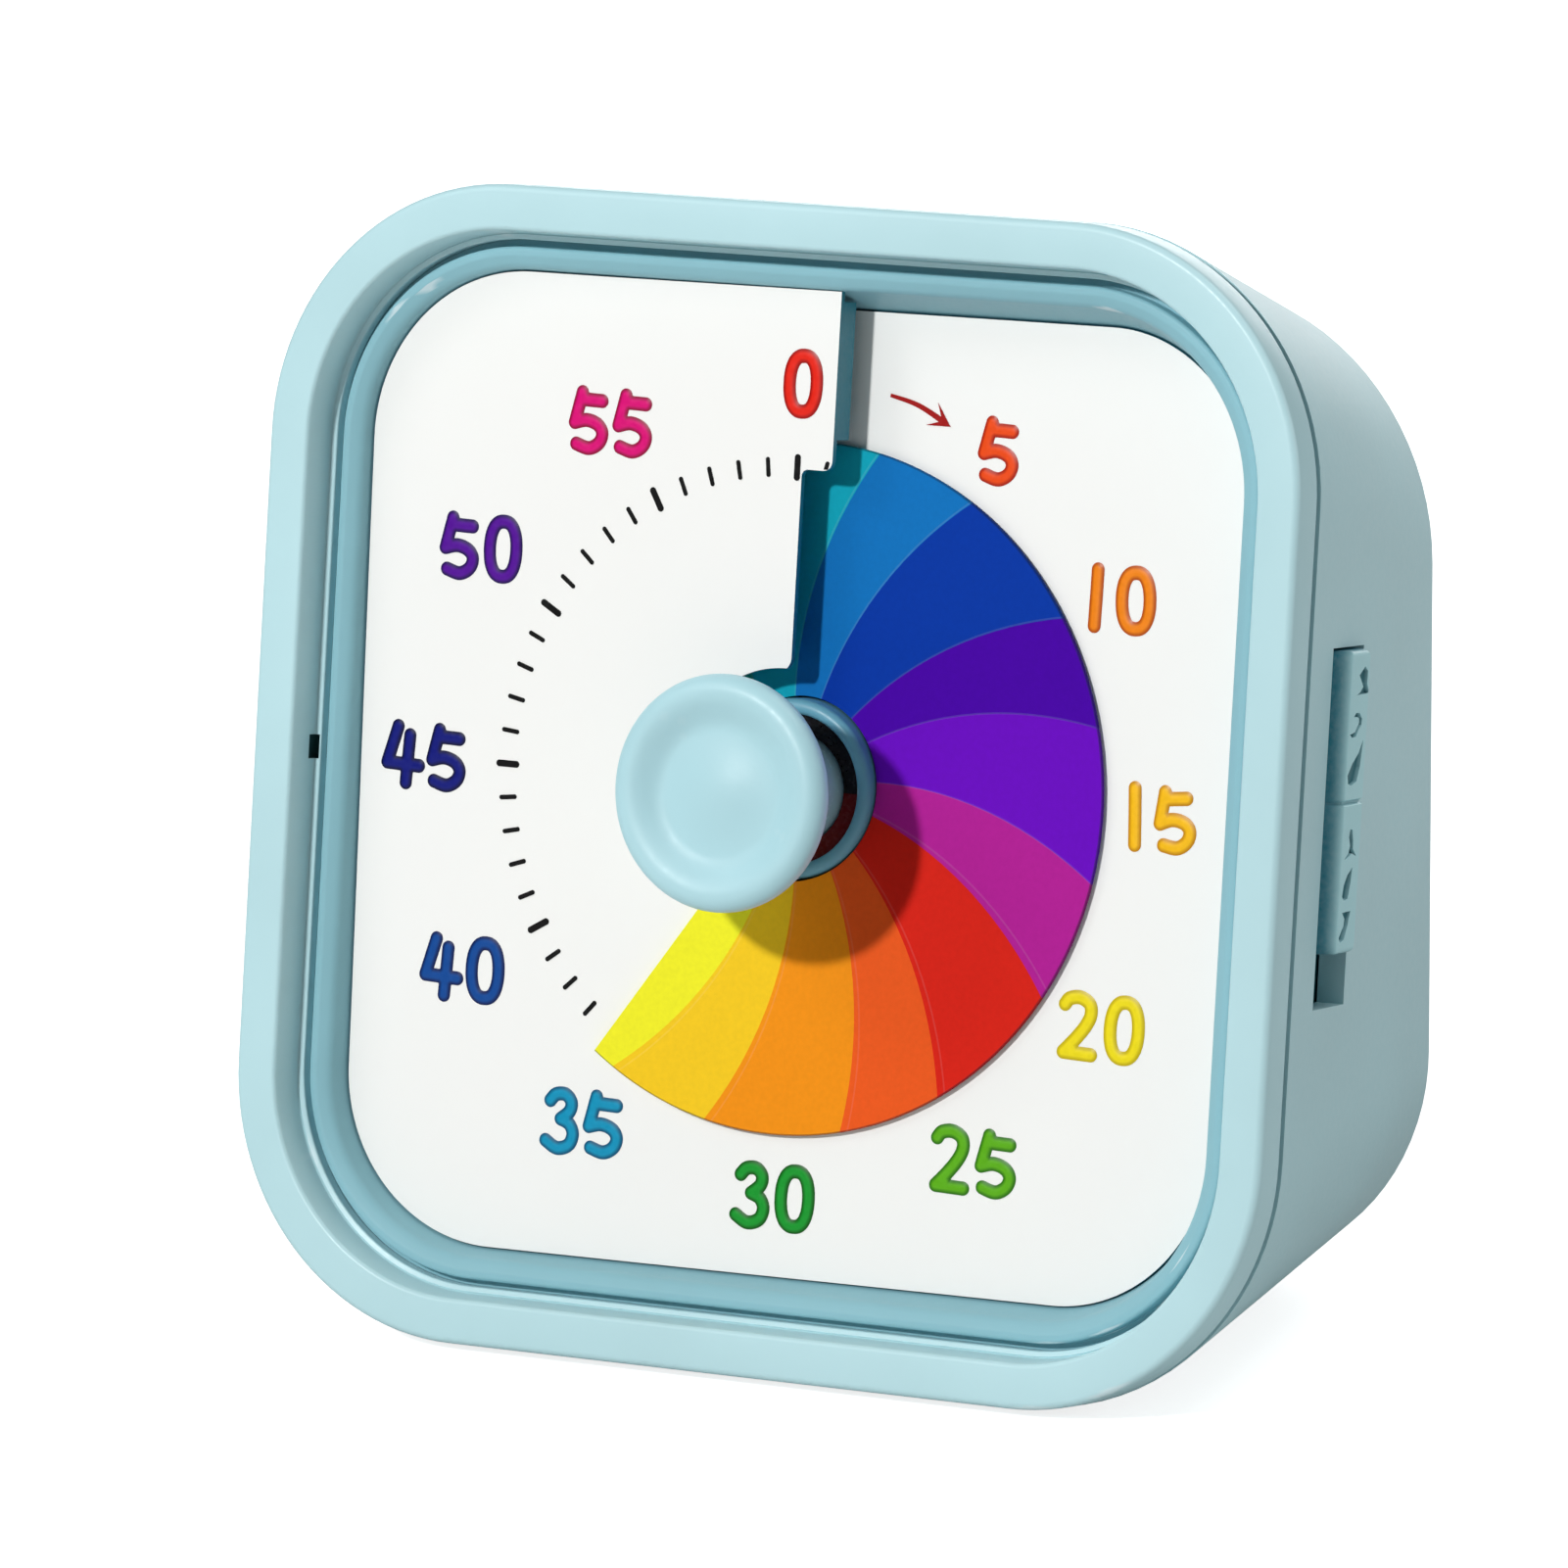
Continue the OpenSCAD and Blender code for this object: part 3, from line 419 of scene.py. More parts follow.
# rows of the card's mesh in degrees, finer near the four corners
cardRows = {"from": -8, "to": 372, "step": 2.0, "across": 16,
            "corners": (45, 135, 225, 315), "fineStep": 0.5, "fineSpan": 18}


# depth of the front of the card's helix at an angle
def helixDepth(angle):
    return dialLook["depthAtZero"] - dialLook["pitch"] * angle / 360


def cardDepth(x, z):
    angle = degrees(atan2(x, z)) % 360
    edge = dialLook["tabEdgeOutside"] if z > dialLook["tabStep"] else dialLook["tabEdge"]
    if z > 0 and 0 <= x < edge:
        angle += 360
    return helixDepth(angle)


def cardMaterial():
    material, tree, shader = newMaterial("printedCard")
    cloud = grainNoise(tree, 40, 2)
    fine = grainNoise(tree, 3200, 3)
    tone = blendColour(tree, spread(tree, cloud, 0, 1), shade(dialLook["card"], 0.985), dialLook["card"])
    surface(tree, shader, tone, spread(tree, fine, 0.5, 0.62), fine, 0.04)
    return material


# distance from the axis to the ring's inner wall at a depth, along a direction
def reachToWall(y, sx, sz):
    half = ringLook["wallHalf"] - (y - ringLook["crestFront"]) * ringLook["wallSlope"] - dialLook["wallGap"]
    middle = caseLook["cornerCentre"]
    corner = half - middle
    reach = half / max(abs(sx), abs(sz))
    if min(abs(sx), abs(sz)) * reach > middle:
        along = middle * (abs(sx) + abs(sz))
        reach = along + sqrt(max(0, along * along - 2 * middle * middle + corner * corner))
    return reach


# the helical card: fine rows from the hub hole out to the ring's wall
def cardShape():
    rings = cardRows["across"]
    coarse = int((cardRows["to"] - cardRows["from"]) / cardRows["step"])
    fine = int(cardRows["fineSpan"] / cardRows["fineStep"])
    angles = set(cardRows["from"] + cardRows["step"] * k for k in range(coarse + 1))
    for corner in cardRows["corners"]:
        angles.update(corner + cardRows["fineStep"] * k for k in range(-fine, fine + 1))
    angles = sorted(angles)
    points, faces = [], []
    for angle in angles:
        y = helixDepth(angle)
        sx, sz = onDial(1, angle)
        reach = reachToWall(y + dialLook["thickness"], sx, sz)
        for depth in (y, y + dialLook["thickness"]):
            for k in range(rings + 1):
                radius = dialLook["hubHole"] + (reach - dialLook["hubHole"]) * k / rings
                points.append((radius * sx, depth, radius * sz))
    row = 2 * (rings + 1)
    for i in range(len(angles) - 1):
        a, b = i * row, (i + 1) * row
        c, d = a + rings + 1, b + rings + 1
        for k in range(rings):
            faces.append((a + k, a + k + 1, b + k + 1, b + k))
            faces.append((c + k, d + k, d + k + 1, c + k + 1))
        faces.append((a, b, d, c))
        faces.append((a + rings, c + rings, d + rings, b + rings))
    for a in (0, (len(angles) - 1) * row):
        faces.extend((a + k, a + k + 1, a + rings + 2 + k, a + rings + 1 + k) for k in range(rings))
    return points, faces


# everything right of the slit, with its corners rounded, down to between the two layers
slitLook = {"far": 44, "front": -2, "stepRound": 0.5, "hubRound": 0.95, "hubDrop": 0.2, "shortOfMiddle": 0.3}


def slitShape():
    inner, outer, step, far = dialLook["tabEdge"], dialLook["tabEdgeOutside"], dialLook["tabStep"], slitLook["far"]
    outline = rounded([(inner, step, slitLook["stepRound"]), (outer, step, dialLook["tabCorner"]),
                       (outer, far, 0), (far, far, 0), (far, 0, 0), (inner, 0, 0)], 8)
    # where the slit's inner edge meets the hub hole the card is rounded off
    turn = slitLook["hubRound"]
    hubCorner = sqrt(dialLook["hubHole"] ** 2 - inner ** 2) - slitLook["hubDrop"]
    outline.append((inner, hubCorner))
    for angle in range(90, -1, -15):
        x, z = onDial(turn, 90 - angle)
        outline.append((inner - turn + x, hubCorner + turn - z))
    back = helixDepth(180) - slitLook["shortOfMiddle"]
    return skin([[(x, y, z) for x, z in outline] for y in (slitLook["front"], back)])


# dark teal for the plate and the card's cut edges: the plate's plastic made darker, as painted shade on the slit's
# wall; on the white card's edges it is painted shade only
slitPlasticAndShade = moulded("slitPlasticAndShade", dialLook["edge"], roughness=0.45)
dialCard = finishMesh("dialCard", cardShape(), "housing", cardMaterial(), ["dial_card"], 25)
cutAway(dialCard, *slitShape())
dressPart(dialCard, slitPlasticAndShade, lambda spots, facing: abs(facing[1]) < 0.6)
easedCopy("dial_plate", "dialPlate", "housing", slitPlasticAndShade, sharp=25)

# print on the card
digitLook = {"stroke": 1.02, "rim": 0.32, "grid": 0.09, "dome": 0.07, "pairStep": 3.66, "afterOne": 3.2}
inkLook = {"rim": 0.42, "rimLift": 0.6, "rimPower": 1.35, "flatCore": 0.6,
           "roughness": 0.32, "specular": 0.3, "grain": 2600}


# ink: a thick glossy print that domes a little, darker towards its outline
def inkMaterial(name, colour):
    look = inkLook
    material, tree, shader = newMaterial(name, look["specular"])
    luminance = 0.21 * colour[0] + 0.72 * colour[1] + 0.07 * colour[2]
    rim = look["rim"] + (1 - look["rim"]) * look["rimLift"] * luminance
    fine = grainNoise(tree, look["grain"], 2)
    tone = blendColour(tree, spread(tree, fine, 0, 1), shade(colour, 0.96), shade(colour, 1.03))
    rimTone = shade([c ** look["rimPower"] for c in colour[:3]], rim)
    tone = blendColour(tree, spread(tree, attribute(tree, "core"), 0, 1, 0.3, 1.0), rimTone, tone)
    surface(tree, shader, tone, spread(tree, fine, look["roughness"] - 0.04, look["roughness"] + 0.06))
    return material


# distance from points to a stroke made of line pieces
def strokeDistance(px, pz, strokes, width):
    best = np.full(px.shape, 1e9)
    for line in strokes:
        for (ax, az), (bx, bz) in zip(line, line[1:]):
            dx, dz = bx - ax, bz - az
            t = np.clip(((px - ax) * dx + (pz - az) * dz) / (dx * dx + dz * dz), 0, 1)
            best = np.minimum(best, np.hypot(px - ax - t * dx, pz - az - t * dz))
    return best - width / 2


# smooth curve through the given points
def smoothLine(points, steps=8):
    p = [np.array(spot) for spot in (points[0], *points, points[-1])]
    out = []
    for a, b, c, d in zip(p, p[1:], p[2:], p[3:]):
        for k in range(steps):
            t = k / steps
            bend, twist = 2 * a - 5 * b + 4 * c - d, 3 * b - a - 3 * c + d
            out.append(tuple(0.5 * (2 * b + (c - a) * t + bend * t * t + twist * t ** 3)))
    return out + [points[-1]]


# level line of a distance field as points and short pieces between them
def levelLine(field, xs, zs, level):
    points, index, pieces = [], {}, []

    def crossing(i, j, k, m):
        key = (i, j, k, m)
        if key not in index:
            a, b = field[i, j] - level, field[k, m] - level
            t = a / (a - b)
            index[key] = len(points)
            points.append((xs[i] + (xs[k] - xs[i]) * t, zs[j] + (zs[m] - zs[j]) * t))
        return index[key]

    inside = field < level
    for i in range(len(xs) - 1):
        for j in range(len(zs) - 1):
            corners = (inside[i, j], inside[i + 1, j], inside[i + 1, j + 1], inside[i, j + 1])
            if all(corners) or not any(corners):
                continue
            sides = ((i, j, i + 1, j), (i + 1, j, i + 1, j + 1), (i, j + 1, i + 1, j + 1), (i, j, i, j + 1))
            hits = [crossing(*sides[s]) for s in range(4) if corners[s] != corners[(s + 1) % 4]]
            pieces.append((hits[0], hits[1]))
            if len(hits) == 4:
                pieces.append((hits[2], hits[3]))
    return points, pieces


# flat print of a digit's strokes: its outline and a paler core inside it
def inkShape(strokes):
    width, grid = digitLook["stroke"], digitLook["grid"]
    every = np.array([p for line in strokes for p in line])
    low, high = every.min(0) - width / 2 - 2 * grid, every.max(0) + width / 2 + 2 * grid
    xs = np.arange(low[0], high[0] + grid, grid)
    zs = np.arange(low[1], high[1] + grid, grid)
    gx, gz = np.meshgrid(xs, zs, indexing="ij")
    field = strokeDistance(gx, gz, strokes, width)
    points, pieces = levelLine(field, xs, zs, 0)
    rimCount = len(points)
    corePoints, corePieces = levelLine(field, xs, zs, -digitLook["rim"])
    pieces += [(a + rimCount, b + rimCount) for a, b in corePieces]
    points += corePoints
    verts, _, faces, origin, _, _ = delaunay_2d_cdt([Vector(p) for p in points], pieces, [], 0, 1e-5)
    flat = [(v.x, v.y) for v in verts]
    middles = np.array([[sum(flat[i][d] for i in f) / len(f) for d in (0, 1)] for f in faces])
    keep = strokeDistance(middles[:, 0], middles[:, 1], strokes, width) < 0
    faces = [f for f, k in zip(faces, keep) if k]
    core = [0.0 if o and min(o) < rimCount else 1.0 for o in origin]
    return flat, faces, core


# lays flat shapes on the card as one thin closed body, domed by their core values
def printOnCard(name, shapes, material):
    root = dialLook["printRoot"]
    work = bmesh.new()
    layer = work.verts.layers.float.new("core")
    for flat, faces, core in shapes:
        made = []
        for (x, z), value in zip(flat, core):
            vert = work.verts.new(place(x, cardDepth(x, z) + root, z))
            vert[layer] = value
            made.append(vert)
        backs = [work.faces.new([made[i] for i in face]) for face in faces]
        body = bmesh.ops.extrude_face_region(work, geom=backs)
        for vert in body["geom"]:
            if isinstance(vert, bmesh.types.BMVert):
                vert.co -= deep * mm * (dialLook["printLift"] + root + digitLook["dome"] * vert[layer])
    bmesh.ops.delete(work, geom=[v for v in work.verts if not v.link_faces], context="VERTS")
    bmesh.ops.recalc_face_normals(work, faces=work.faces)
    mesh = bpy.data.meshes.new(name)
    work.to_mesh(mesh)
    work.free()
    finishMesh(name, mesh, "housing", material, sharp=35)


# an oval with straighter sides than an ellipse
def squareOval(halfWidth, halfHeight, sidePower, endPower, steps=48):
    out = []
    for k in range(steps + 1):
        x, z = onDial(1, 360 * k / steps)
        out.append((halfWidth * copysign(abs(x) ** sidePower, x), halfHeight * copysign(abs(z) ** endPower, z)))
    return out


# middle lines of the digits' strokes, in mm from the digit's middle
glyphLines = {
    "0": [squareOval(1.12, 2.0, 0.8, 0.9)],
    "1": [[(0.12, 2.0), (0.02, 0.2), (-0.12, -2.0)]],
    "2": [smoothLine([(-1.15, 1.5), (-0.78, 1.93), (0.05, 2.05), (0.8, 1.65), (0.95, 0.9), (0.58, 0.05), (-0.2, -0.95),
                      (-1.08, -1.88)]),
          [(-1.08, -1.9), (1.12, -1.97)]],
    "3": [smoothLine([(-0.8, 1.4), (-0.32, 1.88), (0.45, 1.92), (0.94, 1.4), (0.82, 0.72), (0.12, 0.12)]),
          smoothLine([(0.12, 0.12), (0.84, -0.2), (1.16, -0.94), (0.82, -1.74), (-0.12, -2.02), (-1.06, -1.53)])],
    "4": [[(-0.5, 2.02), (-1.32, -0.66), (1.36, -0.76)], [(0.52, 1.42), (0.3, -2.05)]],
    "5": [[(-0.66, 2.0), (-1.2, -0.2)], [(-0.54, 1.5), (1.02, 1.46)],
          smoothLine([(-1.2, -0.2), (-0.2, 0.02), (0.74, -0.27), (1.14, -0.88), (0.87, -1.6), (0.05, -2.0),
                      (-1.0, -1.74)])],
}
glyphShapes = {key: inkShape(lines) for key, lines in glyphLines.items()}
# text, middle across and up the dial, ink, and how far it is turned in degrees
numbers = [
    ("0", 0.1, 29.1, (232, 34, 14), 0), ("5", 14.4, 25.2, (240, 76, 14), 0), ("10", 24.6, 15.4, (244, 134, 8), 3),
    ("15", 28.85, 0.2, (250, 190, 14), 7), ("20", 25.7, -15.0, (242, 222, 16), 0), ("25", 16.2, -25.4, (92, 176, 14), 0),
    ("30", 0.2, -29.4, (16, 152, 44), 0), ("35", -15.7, -25.5, (4, 146, 186), 0), ("40", -26.1, -15.2, (4, 72, 150), 0),
    ("45", -30.1, 0.0, (6, 18, 120), 0), ("50", -26.1, 15.5, (84, 4, 150), 0), ("55", -15.7, 25.3, (220, 2, 118), 0)]


# a digit's shape put on the dial
def digitAt(digit, middle, shift, turn):
    flat, faces, core = glyphShapes[digit]
    spots = [(x * cos(turn) - z * sin(turn), x * sin(turn) + z * cos(turn)) for x, z in flat]
    return [(middle[0] + shift + x, middle[1] + z) for x, z in spots], faces, core


for text, x, z, colour, tilt in numbers:
    step = digitLook["afterOne"] if text[0] == "1" else digitLook["pairStep"]
    shifts = [0] if len(text) == 1 else [-step / 2, step / 2]
    shapes = [digitAt(digit, (x, z), shift, radians(tilt)) for digit, shift in zip(text, shifts)]
    printOnCard("number" + text, shapes, inkMaterial("ink" + text, srgb(*colour)))


# a minute mark: a short bar with round ends
def tickShape(minute):
    angle = 6 * minute
    steps = dialLook["tickEndSteps"]
    length, width = dialLook["fifthTick"] if minute % 5 == 0 else dialLook["tick"]
    outline = []
    for side in (-1, 1):
        ex, ez = onDial(dialLook["tickRadius"] + side * (length - width) / 2, angle)
        for k in range(steps):
            x, z = onDial(width / 2, angle - side * 90 + 180 * (k + 0.5) / steps)
            outline.append((ex + x, ez + z))
    if minute == 1:
        # only its outer end is on the corner of the upper layer
        outline = [(x, max(z, dialLook["tabStep"] + 0.1)) for x, z in outline]
    outline = [spot for i, spot in enumerate(outline) if spot not in outline[:i]]
    return outline, [tuple(range(len(outline)))], [dialLook["tickCore"]] * len(outline)


printOnCard("minuteMarks", [tickShape(minute) for minute in range(60)], inkMaterial("inkBlack", dialLook["ink"]))

# arrow: a shaft that swells towards its barbed head
arrowLook = {"start": (5.3, 28.6), "bend": (7.7, 28.0), "tip": (10.34, 26.68), "thin": 0.26, "thick": 0.42,
             "headLength": 1.75, "headHalf": 0.92, "notch": 1.0, "neckGap": 0.1, "ink": srgb(198, 22, 20)}


def arrowShape():
    look = arrowLook
    line = smoothLine([look["start"], look["bend"], look["tip"]], 10)
    heading = (Vector(line[-1]) - Vector(line[-6])).normalized()
    aside = Vector((-heading.y, heading.x))
    tip = Vector(look["tip"])
    neck = tip - heading * look["notch"]
    line = [Vector(p) for p in line if (tip - Vector(p)).dot(heading) > look["notch"] + look["neckGap"]] + [neck]
    left, right = [], []
    for i, p in enumerate(line):
        step = (line[min(i + 1, len(line) - 1)] - line[max(i - 1, 0)]).normalized()
        half = (look["thin"] + (look["thick"] - look["thin"]) * i / (len(line) - 1)) / 2
        normal = Vector((-step.y, step.x)) * half
        left.append(p + normal)
        right.append(p - normal)
    back = tip - heading * look["headLength"]
    outline = left + [back + aside * look["headHalf"], tip, back - aside * look["headHalf"]] + right[::-1]
    verts, _, faces, _, _, _ = delaunay_2d_cdt(outline, [], [list(range(len(outline)))], 1, 1e-5)
    return [tuple(v) for v in verts], faces, [inkLook["flatCore"]] * len(verts)


printOnCard("turnArrow", [arrowShape()], inkMaterial("inkArrow", arrowLook["ink"]))
print("dial done")

# rainbow disc
discLook = {
    "radius": 24.9, "inner": 6.65, "thickness": 0.3, "gap": 0.25, "edgeEase": 0.05, "edgeFlat": 0.6,
    "start": -144, "sweep": 360, "across": 14, "around": 240,
    "bounds": (11.0, 30.3), "period": 45, "swirlPerMm": 1.07, "swirlFrom": 24.7, "firstBound": -150, "lastBound": 240,
    "line": 0.07, "lineShare": 0.03, "rimShadeWidth": 0.12, "rimShadeShare": 0.5, "rimShadeColour": (0.01, 0.02, 0.03, 1),
    "specular": 0.03,
}
# ink from the hidden end round to the open end, clockwise; each turns into the next at a swirling line
sectorInks = [
    (243, 242, 52), (190, 222, 50), (96, 190, 62), (30, 160, 80), (16, 150, 110), (14, 160, 150), (20, 168, 190),
    (20, 116, 190), (10, 58, 165), (74, 4, 166), (108, 14, 194), (180, 34, 150), (220, 38, 26), (240, 92, 34),
    (247, 148, 26), (249, 204, 38), (245, 240, 46)]


# the helical sheet; its sweep and reach values steer the print
def discShape():
    look = discLook
    radii = [look["inner"] + (look["radius"] - look["inner"]) * k / look["across"] for k in range(look["across"] + 1)]
    eased = radii[:-1] + [look["radius"] - look["edgeEase"]]
    outline = [(r, -1) for r in eased] + [(look["radius"], -look["edgeFlat"]), (look["radius"], look["edgeFlat"])]
    outline += [(r, 1) for r in reversed(eased)]
    half = look["thickness"] / 2
    angles = [look["start"] + look["sweep"] * i / look["around"] for i in range(look["around"] + 1)]
    loops = []
    for angle in angles:
        y = helixDepth(angle) - look["gap"] - half
        loops.append([(onDial(r, angle)[0], y + side * half, onDial(r, angle)[1]) for r, side in outline])
    values = {"sweep": [angle for angle in angles for spot in outline],
              "reach": [r for angle in angles for r, side in outline]}
    return *skin(loops), values


def discMaterial():
    look = discLook
    material, tree, shader = newMaterial("discPrint", look["specular"])
    sweep, reach = attribute(tree, "sweep"), attribute(tree, "reach")
    swirl = calc(tree, "MULTIPLY", calc(tree, "SUBTRACT", look["swirlFrom"], reach), look["swirlPerMm"])
    turn = calc(tree, "ADD", sweep, swirl)
    ramp = node(tree, "ValToRGB")
    ramp.color_ramp.interpolation = "CONSTANT"
    bounds = sorted(b + look["period"] * k for b in look["bounds"] for k in range(-4, 6))
    bounds = [b for b in bounds if look["firstBound"] < b < look["lastBound"]]
    low, high = look["firstBound"] - 10, look["lastBound"] + 10
    stops = ramp.color_ramp.elements
    stops[0].position = 0
    stops[0].color = srgb(*sectorInks[0])
    stops.remove(stops[1])
    for bound, ink in zip(bounds[1:], sectorInks[1:]):
        stops.new((bound - low) / (high - low)).color = srgb(*ink)
    tree.links.new(spread(tree, turn, 0, 1, low, high), ramp.inputs["Fac"])
    # thin pale line along each change of colour
    line = 0
    for bound in look["bounds"]:
        past = calc(tree, "WRAP", calc(tree, "SUBTRACT", turn, bound), look["period"] / 2, -look["period"] / 2)
        off = calc(tree, "MULTIPLY", calc(tree, "MULTIPLY", calc(tree, "ABSOLUTE", past), radians(1)), reach)
        line = calc(tree, "MAXIMUM", line, calc(tree, "LESS_THAN", off, look["line"]))
    tone = blendColour(tree, calc(tree, "MULTIPLY", line, look["lineShare"]), ramp.outputs["Color"], white)
    # a thin dark line painted on the sheet along its outer edge, as painted shade of the edge
    rimShadeLine = calc(tree, "GREATER_THAN", reach, look["radius"] - look["rimShadeWidth"])
    tone = blendColour(tree, calc(tree, "MULTIPLY", rimShadeLine, look["rimShadeShare"]), tone, look["rimShadeColour"])
    fine = grainNoise(tree, 2600, 3)
    tone = blendColour(tree, spread(tree, fine, 0, 0.06), tone, black)
    surface(tree, shader, tone, spread(tree, fine, 0.46, 0.56), fine, 0.05)
    return material


finishMesh("rainbowDisc", discShape(), "disc", discMaterial(), ["rainbow_disc"], 40)

# the collar's outline as (radius, depth, rounding); the shade ring's inner and outer radius, front and back
collarLook = {
    "outline": [(5.4, 5.05, 0.45), (6.5, 5.05, 0.55), (6.5, 8.8, 0.1), (4.0, 8.8, 0.1), (4.0, 5.9, 0.1), (5.4, 5.9, 0)],
    "colour": srgb(102, 164, 184),
    "shadeRing": (4.08, 5.37, 5.78, 5.92), "shadeRingSteps": 120, "farShadeColour": srgb(11, 7, 10), "nearShadeColour": srgb(94, 3, 6),
}
collarPlastic = moulded("collarPlastic", collarLook["colour"], roughness=0.4, bump=0.04, edge=0.2)
finishMesh("discCollar", turned(rounded(collarLook["outline"]), closed=True),
           "disc", collarPlastic, ["disc_collar"])


# dark ring on the collar's floor, painted shade: the disc's indigo and red in deep shadow, black over the far half,
# deep red over the near half
def shadeRingMaterial():
    material, tree, shader = newMaterial("shadeRingPaint", 0.15)
    sweep = attribute(tree, "sweep")
    fine = grainNoise(tree, 2600, 2)
    near = calc(tree, "MULTIPLY", calc(tree, "GREATER_THAN", sweep, 90), calc(tree, "LESS_THAN", sweep, 270))
    tone = blendColour(tree, near, collarLook["farShadeColour"], collarLook["nearShadeColour"])
    tone = blendColour(tree, spread(tree, fine, 0, 0.01), tone, white)
    surface(tree, shader, tone, spread(tree, fine, 0.2, 0.3))
    return material


def shadeRingShape():
    inner, outer, front, back = collarLook["shadeRing"]
    angles = [360 * i / collarLook["shadeRingSteps"] for i in range(collarLook["shadeRingSteps"])]
    loops = [[(onDial(radius, angle)[0], y, onDial(radius, angle)[1])
              for radius, y in ((inner, back), (inner, front), (outer, front), (outer, back))] for angle in angles]
    return *skin(loops, ring=True), {"sweep": [angle for angle in angles for k in range(4)]}


finishMesh("collarShadeRing", shadeRingShape(), "disc", shadeRingMaterial())
print("disc done")

# knob; its lower outlines are (radius, depth)
knobLook = {
    "radius": 8.5, "front": -6.05, "rimRound": 1.25, "rimTurn": 112, "colour": srgb(177, 218, 226),
    "dishDepth": 1.0, "dome": 0.55, "domeRadius": 4.8, "slopeFrom": 4.5, "slopeTo": 7.2,
    "dishSteps": 40, "rimSteps": 14,
    "underside": [(7.9, -3.95), (6.6, -3.2), (5.5, -2.77), (5.12, -2.6)],
    "neck": [(4.95, -2.3), (4.95, 1.45), (4.8, 1.6), (4.15, 1.7)],
    "stem": [(3.9, 2.1), (3.9, 3.2), (3.76, 3.3), (3.76, 3.55), (3.9, 3.65), (3.9, 11.0), (3.7, 11.2)],
    "pinBore": [(1.53, 11.2), (1.53, 6.2), (0, 6.2)],
    "neckColour": srgb(176, 212, 222), "neckFinishFrom": -2.9,
}


def knobOutline():
    look = knobLook
    floor = look["front"] + look["dishDepth"]
    out = [(0, floor - look["dome"])]
    # a soft dome in the dish, then a slope up to the rim
    for step in range(1, look["dishSteps"] + 1):
        r = look["slopeTo"] * step / look["dishSteps"]
        t = min(1, max(0, (r - look["slopeFrom"]) / (look["slopeTo"] - look["slopeFrom"])))
        dome = look["dome"] * (1 + cos(pi * min(1, r / look["domeRadius"]))) / 2
        out.append((r, floor - dome - look["dishDepth"] * (t * t * (3 - 2 * t))))
    centre = (look["radius"] - look["rimRound"], look["front"] + look["rimRound"])
    for step in range(1, look["rimSteps"] + 1):
        angle = radians(-90 + look["rimTurn"] * step / look["rimSteps"])
        out.append((centre[0] + look["rimRound"] * cos(angle), centre[1] + look["rimRound"] * sin(angle)))
    return out + look["underside"] + look["neck"] + look["stem"] + look["pinBore"]


knobPlastic = moulded("knobPlastic", knobLook["colour"], roughness=0.44, grain=2200, mottle=0.02, edge=0.04)
turnKnob = finishMesh("turnKnob", turned(knobOutline()), "knob", knobPlastic, ["knob"], 38)
# the neck is glossier
neckPlastic = moulded("neckPlastic", knobLook["neckColour"], roughness=0.24, grain=2200, bump=0.03, mottle=0.02)
dressPart(turnKnob, neckPlastic, lambda spots, facing: all(y > knobLook["neckFinishFrom"] for x, y, z in spots))
print("knob done")

# slider on the right side: its profile as (along, out) of the wall
sliderLook = {
    "sideX": 40.348, "sideY": 12.5, "lean": 10.4, "middle": 2.15, "length": 21.5,
    "height": 0.98, "base": -2.35, "half": 3.6, "frontTop": -2.15, "backTop": 2.35, "backFoot": (3.5, 0.03),
    "flankFoot": (-0.25, -0.3), "eases": (0.2, 0.3, 0.4, 0.3), "topLean": 0.5,
    "endRound": 0.9, "topRound": 0.4, "endSteps": 12, "fullDepth": 9,
    "groove": 0.24, "grooveInset": 0.1, "grooveFlat": 0.06, "grooveHalf": 0.22, "plainSlices": (3, 6),
    "topColour": srgb(172, 220, 226), "footShadeColour": srgb(0, 104, 122), "shadeDeepening": 2.5, "specular": 0.2,
}
sideLean = radians(sliderLook["lean"])


# on the right side wall: out of the wall, along it to the back, up the face
def placeSide(out, along, z):
    return (sliderLook["sideX"] + out * cos(sideLean) - along * sin(sideLean),
            sliderLook["sideY"] + out * sin(sideLean) + along * cos(sideLean), z)


def outOfSide(x, y):
    return (x - sliderLook["sideX"]) * cos(sideLean) + (y - sliderLook["sideY"]) * sin(sideLean)


# how far a rounded edge of a radius falls back at a distance from the end
def fallBack(radius, distance):
    return radius - sqrt(max(0, radius ** 2 - max(0, radius - distance) ** 2))


# cross-section at a distance from the nearer end; groove is 1 in the line across the middle
def sliderSlice(z, distance, groove):
    look = sliderLook
    half, base = look["half"], look["base"]
    inset = fallBack(look["endRound"], distance) + groove * look["grooveInset"]
    top = look["height"] - fallBack(look["topRound"], distance) - groove * look["groove"]
    frontFoot, backFoot = look["flankFoot"]
    footEase, frontEase, topEase, backEase = look["eases"]
    profile = rounded([
        (-half + inset, base, 0), (-half + inset, frontFoot, footEase),
        (look["frontTop"] + look["topLean"] * inset, top, frontEase),
        (look["backTop"] - look["topLean"] * inset, top, topEase),
        (look["backFoot"][0] - inset, look["backFoot"][1], backEase),
        (half - inset, backFoot, 0), (half - inset, base, 0)], 5)
    return [placeSide(out, along, look["middle"] + z) for along, out in profile]


